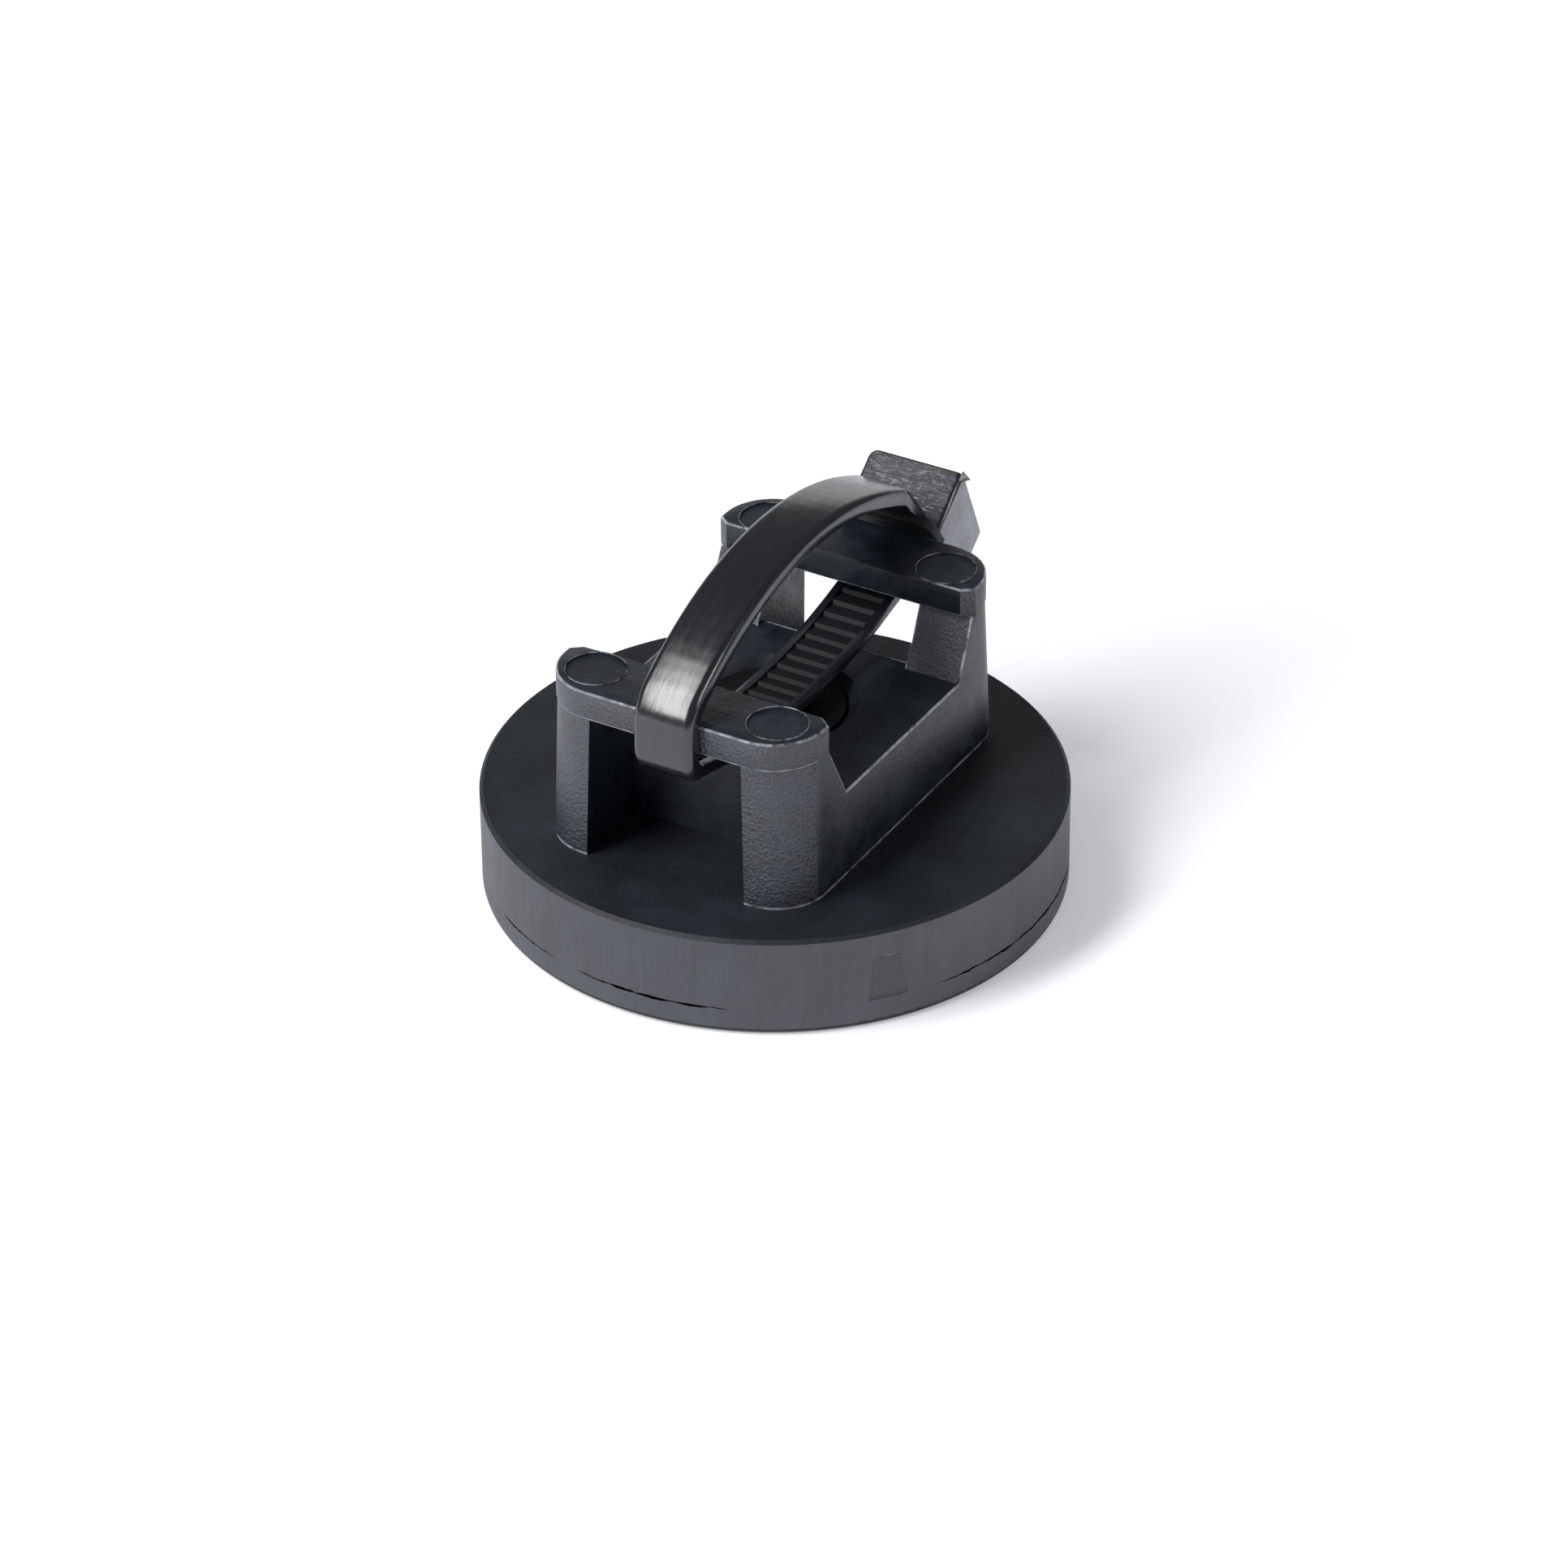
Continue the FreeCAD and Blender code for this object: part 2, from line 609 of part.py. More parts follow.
def tie_shape():
    half_thick = s.strap_thickness.value / 2
    middle_x = s.strap_offset.value
    rear_face = half_depth.value
    top = saddle_top.value

    # The head's own directions: out along the slot, and from its root face to its nose
    out = heading(s.head_tilt.value)
    to_nose = -left_of(out)
    long_way = heading(s.head_tilt.value - 90 - s.head_skew.value)
    long_side = s.head_length.value / math.cos(math.radians(s.head_skew.value))
    root_corner = yz(rear_face + s.head_standoff.value, top + s.head_rise.value)

    # Corners of the strap's route at mid thickness, from its root in the head to the cut tail
    root = root_corner + out * half_thick
    rear_corner = root - to_nose * s.root_run.value
    front_y = -(half_depth.value + s.strap_bar_gap.value + half_thick)
    front_corner = yz(front_y, top + s.front_rise.value)
    crown_corner = crossing(rear_corner, heading(180 - s.rear_slope.value),
                            front_corner, heading(s.front_slope.value))
    front_trim = s.front_shoulder_radius.value * math.tan(math.radians(90 - s.front_slope.value) / 2)
    crown_trim = (crown_corner - front_corner).Length - front_trim - s.crown_straight.value
    crown_radius = crown_trim / math.tan(math.radians(s.front_slope.value + s.rear_slope.value) / 2)
    slope = s.under_slope.value
    dip = s.under_radius.value * (1 / math.cos(math.radians(slope)) - 1)
    lowest = floor_level.value + s.strap_floor_gap.value + half_thick
    under_corner = yz(0, lowest - dip)
    bar_corner = crossing(under_corner, heading(180 - slope), front_corner, heading(-90))
    slot_middle = root_corner + to_nose * s.slot_from_root.value
    slot_corner = crossing(under_corner, heading(slope), slot_middle, out)
    slot_mouth = slot_middle - out * (s.slot_from_root.value * math.tan(math.radians(s.head_skew.value)))
    tail_end = slot_mouth + out * (s.head_depth.value + s.tail_stub.value)
    path = rounded_path(
        [root + to_nose * s.root_overlap.value, rear_corner, crown_corner, front_corner,
         bar_corner, under_corner, slot_corner, tail_end],
        [s.rear_shoulder_radius.value, crown_radius, s.front_shoulder_radius.value,
         s.bar_bend_radius.value, s.under_radius.value, s.slot_bend_radius.value])
    section = strap_section(root + to_nose * s.root_overlap.value, -to_nose)
    strap = path.makePipeShell([section], True, False)
    track_width = s.strap_width.value - 2 * s.rail_width.value
    strap = strap.cut(prism(tooth_track(path), track_width, middle_x))

    # The head is a block whose long faces lean over
    head = prism([
        root_corner,
        root_corner + out * s.head_depth.value,
        root_corner + out * s.head_depth.value + long_way * long_side,
        root_corner + long_way * long_side,
    ], s.head_width.value, middle_x)
    head = head.makeFillet(s.head_edge_radius.value, head.Edges)
    # The lip under the strap's root, as wide as the head, with its two free corners rounded
    lip_end = root_corner - to_nose * s.lip_reach.value
    lip_far = root_corner + to_nose * s.lip_tail.value
    lip = prism([
        lip_end + out * s.lip_overlap.value,
        lip_end - out * s.lip_drop.value,
        lip_far - out * s.lip_drop.value,
        lip_far + out * s.lip_overlap.value,
    ], s.head_width.value, middle_x)
    lip_depth = s.lip_drop.value + s.lip_overlap.value
    free_corners = [
        edge for edge in lip.Edges
        if near(edge.Length, lip_depth) and (edge.CenterOfMass - lip_end).dot(to_nose) < s.lip_overlap.value
    ]
    lip = lip.makeFillet(s.lip_corner_radius.value, free_corners)

    # The slot that the tail runs through
    overrun = s.head_depth.value
    nose_wall = half_thick + s.slot_back_gap.value
    root_wall = half_thick + s.pawl_room.value
    slot = prism([
        slot_mouth - out * overrun + to_nose * nose_wall,
        slot_mouth + out * 2 * overrun + to_nose * nose_wall,
        slot_mouth + out * 2 * overrun - to_nose * root_wall,
        slot_mouth - out * overrun - to_nose * root_wall,
    ], s.strap_width.value + 2 * s.slot_side_gap.value, middle_x)
    head = head.fuse(lip).cut(slot)

    # The pawl grows from the root wall and leans on the tail
    hinge = slot_middle - to_nose * root_wall
    tip_side = slot_middle - to_nose * (half_thick + s.pawl_gap.value)
    pawl = prism([
        hinge - to_nose * s.root_overlap.value / 2,
        hinge,
        tip_side + out * (s.pawl_reach.value - s.pawl_thickness.value),
        tip_side + out * s.pawl_reach.value,
        hinge + out * s.pawl_thickness.value * 1.5,
        hinge + out * s.pawl_thickness.value * 1.5 - to_nose * s.root_overlap.value / 2,
    ], s.strap_width.value - 2 * s.pawl_side_gap.value, middle_x)
    return head.fuse(pawl).fuse(strap).removeSplitter()


tie = doc.addObject("Part::Feature", "cable_tie")
tie.Shape = tie_shape()


# Check and export: one file for each piece, named by its label

pieces = [jacket, plate, *magnets, bush, saddle, screw, tie]
doc.recompute()
for item in doc.Objects:
    if "Invalid" in item.State or "Error" in item.State:
        raise RuntimeError(f"{item.Label} failed: {item.State}")
os.makedirs("parts", exist_ok=True)
for piece in pieces:
    shape = piece.Shape
    if shape.isNull() or not shape.isValid() or len(shape.Solids) != 1:
        raise RuntimeError(f"{piece.Label} is not one valid solid")
    shape.exportStep(f"parts/{piece.Label}.step")
    print(f"{piece.Label}: {shape.Volume:.1f} mm3")
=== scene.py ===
import math

import bmesh
import bpy
from mathutils import Matrix, Quaternion, Vector


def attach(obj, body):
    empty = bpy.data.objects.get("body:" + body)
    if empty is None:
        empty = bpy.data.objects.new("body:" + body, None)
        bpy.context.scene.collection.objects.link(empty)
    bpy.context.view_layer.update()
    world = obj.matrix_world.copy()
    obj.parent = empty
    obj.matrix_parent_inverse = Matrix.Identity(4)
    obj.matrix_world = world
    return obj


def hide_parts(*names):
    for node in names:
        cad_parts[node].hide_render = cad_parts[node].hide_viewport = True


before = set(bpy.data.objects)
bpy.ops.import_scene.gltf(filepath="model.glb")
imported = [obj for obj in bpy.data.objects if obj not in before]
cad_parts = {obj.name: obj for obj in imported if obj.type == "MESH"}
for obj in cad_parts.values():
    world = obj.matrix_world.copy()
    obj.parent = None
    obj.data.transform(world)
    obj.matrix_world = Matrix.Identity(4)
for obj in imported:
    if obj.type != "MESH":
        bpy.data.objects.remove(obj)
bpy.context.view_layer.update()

# Magnetic cable tie mount: a rubber coated magnet, a moulded nylon saddle and a closed cable tie.
# X runs along the cradle, -Y is the front, +Z is up. Sizes below are millimetres.

MM = 0.001

# Rubber jacket of the disc: where its wall and its seam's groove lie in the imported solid

DISC_RADIUS = 15.5
DISC_TOP = 5.73
FOOT_ROUNDING = 0.45
WALL_DEPTH = 0.15
PARTING_HEIGHT = 1.51
GROOVED_RADIUS = 15.43
CLOSED_RADIUS = 15.49

# Splits of the rubber's seam, drawn as painted shade, as start angle, end angle and width, and how far they
# stray

SPLITS = [(-127, -106, 0.1), (-102, -68, 0.18), (-29, 28, 0.18)]
SPLIT_WANDER = 0.24

# The gate's patch, between two upright planes through the axis, each as its angle and its lean

GATE_FOOT = 1.63
GATE_TOP = 4.2
GATE_SIDES = [(-42.0, -0.104), (-33.8, 0.146)]
GATE_SURROUNDINGS = (-48, -28)
GATE_BORDER = 0.08
GATE_SINK = 0.06

# Saddle: where its faces and edges lie in the imported solid, and how far it is rubbed and painted pale as
# wear and highlight

BAR_TOP = 15.47
BAR_UNDERSIDE = 13.85
POST_SIDE = 7.65
FLOOR_HEIGHT = 10.58
BLOCK_REACH = 7.2
SCREW_HOLE_REACH = 5
OUTER_WALL_REACH = 8
MARK_X = 5.35
MARK_Y = 8.76
MARK_RADIUS = 1.6
MARK_DEPTH = 0.07
PALE_EDGE_WIDTH = 0.1
FOOT_FLASH_HEIGHT = 0.12
BURR_RADIUS = 0.04

# Strap of the tie, made from links of one tooth each, which climb in rows to a crest

STRAP_MIDDLE = 0.42
STRAP_WIDTH = 3.5
STRAP_THICKNESS = 0.9
HALF_THICKNESS = STRAP_THICKNESS / 2
STRAP_ROUNDING = 0.45
INNER_ROUNDING = 0.06
SIDE_GROOVE = (0.13, 0.17, 0.21)
SIDE_GROOVE_DEPTH = 0.05
RAIL_WIDTH = 0.45
HALF_TRACK = STRAP_WIDTH / 2 - RAIL_WIDTH
TOOTH_PITCH = 1.0
TOOTH_DEPTH = 0.2
TOOTH_SINK = 0.05
TOOTH_ROWS = (0.2, 0.4, 0.6, 0.8, 0.97)
SMOOTH_RUN = 12.0
MERGE_GAP = 0.002

# Head of the tie: depths run out along its slot, and lengths from its root to its nose

HEAD_TILT = 38.3
HEAD_SKEW = 14.7
HEAD_WIDTH = 5.6
HEAD_DEPTH = 3.5
HEAD_LENGTH = 4.9
HEAD_CORNER = (11.77, 15.57)
NOSE_ROUNDING = 0.5
ROOT_ROUNDING = 0.4
HEAD_ROUNDING = 0.15
SLOT_FROM_ROOT = 2.2
SLOT_GAP = 0.12
SLOT_BACK_GAP = 0.1
CUTTER_START = -4
CUTTER_DEPTH = 12
PAWL_ROOM = 0.85
PAWL_START = -0.3
PAWL_DEPTH = 2.0
PAWL_LENGTH = 0.65
PAWL_WIDTH = 2.5
PAWL_ROOT = 0.2
PAWL_BEND = 0.33
PAWL_TAPER = 0.8
PAWL_ROUNDING = 0.06
LIP_REACH = 1.4
LIP_DROP = 0.45
LIP_TAIL = 1.2
LIP_SINK = 0.1
LIP_ROUNDING = 1.0
LIP_EDGE_ROUNDING = 0.1
SHRED_RADIUS = 0.4
SHRED_THICKNESS = 0.06
SHRED_PLACE = (3.25, 0.1, 2.87)

# Gloss of the mouldings, strengths of the light, and the height that the lamps aim at

SHEEN = 0.9
PAPER_LIFT = 0.25
MIRRORED_LIGHT = 0.12
FILL_LIGHT = 0.3
AIM_HEIGHT = 10

# Camera, as it was found from the disc's rims and the saddle's edges

CAMERA_AZIMUTH = 30.415
CAMERA_ELEVATION = 32.649
CAMERA_ROLL = -0.514
CAMERA_DISTANCE = 340.34
CAMERA_RIGHT = 0.474
CAMERA_DOWN = 0.376
LENS = 149.07

# Corners of the strap's route at mid thickness, as Y and Z, each with its bend radius

STRAP_ROUTE = [
    (12.433, 15.457, 0),
    (10.45, 17.968, 1.3),
    (-0.579, 23.111, 20.1),
    (-11.59, 16.23, 2.2),
    (-11.59, 12.809, 1.0),
    (0.0, 10.133, 36.0),
    (11.92, 12.885, 3.6),
    (15.663, 15.841, 0),
]


# Working on a mesh

def work_on(piece):
    bpy.ops.object.select_all(action="DESELECT")
    piece.select_set(True)
    bpy.context.view_layer.objects.active = piece


def new_primitive(name, add, **settings):
    bpy.ops.object.select_all(action="DESELECT")
    add(**settings)
    piece = bpy.context.object
    piece.name = name
    return piece


def select_faces(piece, wanted):
    """Selects, in edit mode, the faces that the test accepts by middle and normal."""
    bpy.ops.mesh.select_mode(type="FACE")
    bpy.ops.mesh.select_all(action="DESELECT")
    mesh = bmesh.from_edit_mesh(piece.data)
    for face in mesh.faces:
        if wanted(face.calc_center_median() / MM, face.normal):
            face.select_set(True)
    bmesh.update_edit_mesh(piece.data)


def select_edges(piece, wanted):
    """Selects, in edit mode, the edges that the test accepts by both ends and turn, which is above
    nought at an outer corner and below it at an inner one."""
    bpy.ops.mesh.select_mode(type="EDGE")
    bpy.ops.mesh.select_all(action="DESELECT")
    mesh = bmesh.from_edit_mesh(piece.data)
    for edge in mesh.edges:
        turn = edge.calc_face_angle_signed(0)
        if wanted(edge.verts[0].co / MM, edge.verts[1].co / MM, turn):
            edge.select_set(True)
    bmesh.update_edit_mesh(piece.data)


def select_vertices(piece, wanted):
    """Selects, in edit mode, the vertices that the test accepts by place."""
    bpy.ops.mesh.select_mode(type="VERT")
    bpy.ops.mesh.select_all(action="DESELECT")
    mesh = bmesh.from_edit_mesh(piece.data)
    for vertex in mesh.verts:
        if wanted(vertex.co / MM):
            vertex.select_set(True)
    mesh.select_flush_mode()
    bmesh.update_edit_mesh(piece.data)


def cut_across(point, normal):
    """Cuts the whole mesh in edit mode with a plane."""
    bpy.ops.mesh.select_all(action="SELECT")
    bpy.ops.mesh.bisect(plane_co=Vector(point) * MM, plane_no=normal)


def apply_modifier(piece, kind, **settings):
    modifier = piece.modifiers.new(kind.title(), kind)
    for name, value in settings.items():
        setattr(modifier, name, value)
    work_on(piece)
    bpy.ops.object.modifier_apply(modifier=modifier.name)


def settle(piece):
    """Makes the piece's place, turn and scale part of its mesh."""
    work_on(piece)
    bpy.ops.object.transform_apply(location=True, rotation=True, scale=True)


def smooth(piece, angle=35):
    work_on(piece)
    bpy.ops.object.shade_smooth_by_angle(angle=math.radians(angle))


def join(piece, others):
    work_on(piece)
    for other in others:
        other.select_set(True)
    bpy.ops.object.join()


def merged_copy(node, name):
    """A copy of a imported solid's mesh, with its triangles joined and its flat faces whole."""
    piece = bpy.data.objects.new(name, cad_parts[node].data.copy())
    bpy.context.collection.objects.link(piece)
    work_on(piece)
    bpy.ops.object.mode_set(mode="EDIT")
    bpy.ops.mesh.select_all(action="SELECT")
    bpy.ops.mesh.remove_doubles(threshold=0.001 * MM)
    bpy.ops.mesh.dissolve_limited(angle_limit=math.radians(0.3))
    bpy.ops.object.mode_set(mode="OBJECT")
    bpy.ops.mesh.customdata_custom_splitnormals_clear()
    return piece


def use_material(piece, material):
    """Gives the faces selected in edit mode a material of the piece."""
    piece.active_material_index = piece.data.materials.find(material.name)
    bpy.ops.object.material_slot_assign()


def set_materials(piece, *materials):
    piece.data.materials.clear()
    for material in materials:
        piece.data.materials.append(material)


# Materials

def tint(colour):
    """An sRGB hex colour as linear red, green, blue and alpha."""
    shares = [int(colour[i:i + 2], 16) / 255 for i in (1, 3, 5)]
    return (*[c / 12.92 if c <= 0.04045 else ((c + 0.055) / 1.055) ** 2.4 for c in shares], 1)


def per_metre(size):
    """The scale of a pattern whose specks are this many millimetres across."""
    return 1 / (size * MM)


def new_material(name):
    material = bpy.data.materials.new(name)
    material.use_nodes = True
    material.node_tree.nodes.clear()
    return material, material.node_tree


def add_node(tree, kind, values=None, links=None, result=0, **settings):
    """Adds a shader node with its values, links and settings, and gives back one of its outputs."""
    node = tree.nodes.new("ShaderNode" + kind)
    for name, value in settings.items():
        setattr(node, name, value)
    for name, value in (values or {}).items():
        node.inputs[name].default_value = value
    for name, source in (links or {}).items():
        tree.links.new(source, node.inputs[name])
    return node.outputs[result] if node.outputs else None


def rubber_top():
    """Matt black rubber: cloudy blotches a few millimetres wide and a dusty fine grain, which is
    drawn several times coarser than real dust so that it shows."""
    material, tree = new_material("matt_rubber_top")
    place = add_node(tree, "TexCoord", result="Object")
    blotches = add_node(tree, "TexNoise", {"Scale": per_metre(5.9), "Detail": 8, "Roughness": 0.65},
                        {"Vector": place})
    cloud = add_node(tree, "MapRange", {"From Min": 0.35, "From Max": 0.65}, {"Value": blotches})
    colour = add_node(tree, "Mix", {6: tint("#060c10"), 7: tint("#1c252e")}, {0: cloud}, 2, data_type="RGBA")
    grain = add_node(tree, "TexNoise", {"Scale": per_metre(0.26), "Detail": 3, "Roughness": 0.55},
                     {"Vector": place})
    bump = add_node(tree, "Bump", {"Strength": 0.6, "Distance": 0.05 * MM}, {"Height": grain})
    surface = add_node(tree, "BsdfPrincipled", {"Roughness": 0.6, "IOR": 1.5},
                       {"Base Color": colour, "Normal": bump})
    add_node(tree, "OutputMaterial", links={"Surface": surface})
    return material


def rubber_side():
    """Rubber on the disc's wall, painted paler than the top as painted light: pale upright streaks left by
    the mould, a paler foot below the seam, and the seam's split, drawn as painted shade."""
    material, tree = new_material("painted_light_rubber_wall")
    place = add_node(tree, "TexCoord", result="Object")
    upright = add_node(tree, "Mapping", {"Scale": (1, 1, 0.04)}, {"Vector": place})
    streaks = add_node(tree, "TexNoise", {"Scale": per_metre(0.31), "Detail": 4, "Roughness": 0.55},
                       {"Vector": upright})
    streak = add_node(tree, "MapRange", {"From Min": 0.3, "From Max": 0.7}, {"Value": streaks})
    taller = add_node(tree, "Mapping", {"Scale": (1, 1, 0.5)}, {"Vector": place})
    blotches = add_node(tree, "TexNoise", {"Scale": per_metre(3), "Detail": 5, "Roughness": 0.55},
                        {"Vector": taller})
    cloud = add_node(tree, "MapRange", {"From Min": 0.3, "From Max": 0.7}, {"Value": blotches})
    mixed = add_node(tree, "Math", {1: 0.45}, {0: streak, 2: cloud}, operation="MULTIPLY_ADD")
    parts = add_node(tree, "SeparateXYZ", links={0: place}).node.outputs
    foot = add_node(tree, "Math", {1: PARTING_HEIGHT * MM}, {0: parts["Z"]}, operation="LESS_THAN")
    mixed = add_node(tree, "Math", {1: 0.3}, {0: foot, 2: mixed}, operation="MULTIPLY_ADD")
    streaks_and_painted_light = add_node(tree, "MapRange", {"From Min": 0, "From Max": 1.45}, {"Value": mixed})
    colour = add_node(tree, "Mix", {6: tint("#252931"), 7: tint("#3c4049")}, {0: streaks_and_painted_light}, 2, data_type="RGBA")

    # The split is a ragged dark line of painted shade along the seam, with its sheen taken away, which thins
    # out towards its ends
    angle = add_node(tree, "Math", links={0: parts["Y"], 1: parts["X"]}, operation="ARCTAN2")
    gape = None
    for start, end, width in SPLITS:
        reach = math.radians(end - start) / 2
        turn = add_node(tree, "Math", {1: math.radians(start) + reach}, {0: angle}, operation="SUBTRACT")
        away = add_node(tree, "Math", links={0: turn}, operation="ABSOLUTE")
        taper = add_node(tree, "MapRange",
                         {"From Min": reach, "From Max": 0.6 * reach, "To Max": width / 2 * MM},
                         {"Value": away})
        gape = add_node(tree, "Math", links={0: gape, 1: taper}, operation="MAXIMUM") if gape else taper
    torn = add_node(tree, "TexNoise", {"Scale": per_metre(1.1), "Detail": 3, "Roughness": 0.6},
                    {"Vector": place})
    share = add_node(tree, "MapRange", {"From Min": 0.3, "From Max": 0.6, "To Min": 0.2}, {"Value": torn})
    half_width = add_node(tree, "Math", links={0: gape, 1: share}, operation="MULTIPLY")
    ragged = add_node(tree, "Mapping", {"Scale": (1, 1, 0.3)}, {"Vector": place})
    wander = add_node(tree, "TexNoise", {"Scale": per_metre(0.91), "Detail": 5, "Roughness": 0.65},
                      {"Vector": ragged})
    height = add_node(tree, "Math", {1: -SPLIT_WANDER * MM}, {0: wander, 2: parts["Z"]},
                      operation="MULTIPLY_ADD")
    seam = (PARTING_HEIGHT - SPLIT_WANDER / 2) * MM
    painted_split_shade = add_node(tree, "Math", {1: seam}, {0: height, 2: half_width}, operation="COMPARE")
    split_shade_colour = add_node(tree, "Mix", {7: tint("#050506")}, {0: painted_split_shade, 6: colour}, 2, data_type="RGBA")
    sheen = add_node(tree, "MapRange", {"To Min": SHEEN, "To Max": 0}, {"Value": painted_split_shade})
    grain = add_node(tree, "TexNoise", {"Scale": per_metre(0.31), "Detail": 3, "Roughness": 0.55},
                     {"Vector": upright})
    bump = add_node(tree, "Bump", {"Strength": 0.5, "Distance": 0.05 * MM}, {"Height": grain})
    surface = add_node(tree, "BsdfPrincipled", {"Roughness": 0.55, "IOR": 1.5, "Specular IOR Level": SHEEN},
                       {"Base Color": split_shade_colour, "Specular IOR Level": sheen, "Normal": bump})
    add_node(tree, "OutputMaterial", links={"Surface": surface})
    return material


def gate_scar():
    """The gate's scar in the rubber wall: a rougher, slightly darker patch, in the wall's tones that are
    painted paler than the top as painted light.
    """
    material, tree = new_material("torn_rubber_gate")
    place = add_node(tree, "TexCoord", result="Object")
    tear = add_node(tree, "TexNoise", {"Scale": per_metre(0.45), "Detail": 5, "Roughness": 0.55},
                    {"Vector": place})
    colour = add_node(tree, "Mix", {6: tint("#21252d"), 7: tint("#383c45")}, {0: tear}, 2, data_type="RGBA")
    bump = add_node(tree, "Bump", {"Strength": 0.6, "Distance": 0.08 * MM}, {"Height": tear})
    surface = add_node(tree, "BsdfPrincipled", {"Roughness": 0.6, "IOR": 1.5, "Specular IOR Level": SHEEN},
                       {"Base Color": colour, "Normal": bump})
    add_node(tree, "OutputMaterial", links={"Surface": surface})
    return material


def spark_grained_nylon():
    """Moulded nylon with the spark-eroded grain of its mould, which catches the light in specks.
    The real grain is under 0.1 mm, and is drawn at twice that so that it shows."""
    material, tree = new_material("spark_grained_nylon")
    place = add_node(tree, "TexCoord", result="Object")
    blotches = add_node(tree, "TexNoise", {"Scale": per_metre(2), "Detail": 5, "Roughness": 0.55},
                        {"Vector": place})
    cloud = add_node(tree, "MapRange", {"From Min": 0.3, "From Max": 0.7}, {"Value": blotches})
    colour = add_node(tree, "Mix", {6: tint("#131b25"), 7: tint("#27303e")}, {0: cloud}, 2, data_type="RGBA")
    grain = add_node(tree, "TexNoise", {"Scale": per_metre(0.18), "Detail": 3, "Roughness": 0.6},
                     {"Vector": place})
    bump = add_node(tree, "Bump", {"Strength": 1, "Distance": 0.14 * MM}, {"Height": grain})
    surface = add_node(tree, "BsdfPrincipled", {"Roughness": 0.4, "IOR": 1.6, "Specular IOR Level": SHEEN},
                       {"Base Color": colour, "Normal": bump})
    add_node(tree, "OutputMaterial", links={"Surface": surface})
    return material


def smooth_nylon():
    """The moulding's tops, sides and block: smoother, and darker as painted shade, which on the saddle's
    sides and the block's ends stands for the shadow of a cable that the scene leaves out; with faint rubbed
    clouds and a fine grain that is drawn coarser than life so that it shows."""
    material, tree = new_material("shaded_smooth_nylon_top")
    place = add_node(tree, "TexCoord", result="Object")
    blotches = add_node(tree, "TexNoise", {"Scale": per_metre(1.4), "Detail": 6, "Roughness": 0.65},
                        {"Vector": place})
    cloud = add_node(tree, "MapRange", {"From Min": 0.35, "From Max": 0.7}, {"Value": blotches})
    colour = add_node(tree, "Mix", {6: tint("#06101a"), 7: tint("#11202d")}, {0: cloud}, 2, data_type="RGBA")
    rubbed = add_node(tree, "MapRange", {"To Min": 0.38, "To Max": 0.55}, {"Value": cloud})
    grain = add_node(tree, "TexNoise", {"Scale": per_metre(0.24), "Detail": 3, "Roughness": 0.55},
                     {"Vector": place})
    bump = add_node(tree, "Bump", {"Strength": 0.5, "Distance": 0.05 * MM}, {"Height": grain})
    surface = add_node(tree, "BsdfPrincipled", {"IOR": 1.5, "Specular IOR Level": SHEEN},
                       {"Base Color": colour, "Roughness": rubbed, "Normal": bump})
    add_node(tree, "OutputMaterial", links={"Surface": surface})
    return material


def worn_and_highlit_nylon_edge():
    """Rubbed corners and foot flash: a broken pale line, partly wear and partly a painted highlight, which
    on the foot flash is a painted reflection of the disc's top, drawn a little wider than life so it shows.
    """
    material, tree = new_material("worn_and_highlit_nylon_edge")
    place = add_node(tree, "TexCoord", result="Object")
    nicks = add_node(tree, "TexNoise", {"Scale": per_metre(0.91), "Detail": 5, "Roughness": 0.7},
                     {"Vector": place})
    pale_share = add_node(tree, "MapRange", {"From Min": 0.34, "From Max": 0.6}, {"Value": nicks})
    colour = add_node(tree, "Mix", {6: tint("#1e2025"), 7: tint("#a8aab1")}, {0: pale_share}, 2, data_type="RGBA")
    surface = add_node(tree, "BsdfPrincipled", {"Roughness": 0.35, "IOR": 1.5, "Specular IOR Level": SHEEN},
                       {"Base Color": colour})
    add_node(tree, "OutputMaterial", links={"Surface": surface})
    return material


def moulding_burr():
    """The thin burr round an ejector pin's mark, greyer than a rubbed corner."""
    material, tree = new_material("moulding_burr")
    place = add_node(tree, "TexCoord", result="Object")
    nicks = add_node(tree, "TexNoise", {"Scale": per_metre(0.67), "Detail": 4, "Roughness": 0.7},
                     {"Vector": place})
    pale_share = add_node(tree, "MapRange", {"From Min": 0.4, "From Max": 0.65}, {"Value": nicks})
    colour = add_node(tree, "Mix", {6: tint("#14181c"), 7: tint("#8c8f95")}, {0: pale_share}, 2, data_type="RGBA")
    surface = add_node(tree, "BsdfPrincipled", {"Roughness": 0.4, "IOR": 1.5, "Specular IOR Level": SHEEN},
                       {"Base Color": colour})
    add_node(tree, "OutputMaterial", links={"Surface": surface})
    return material


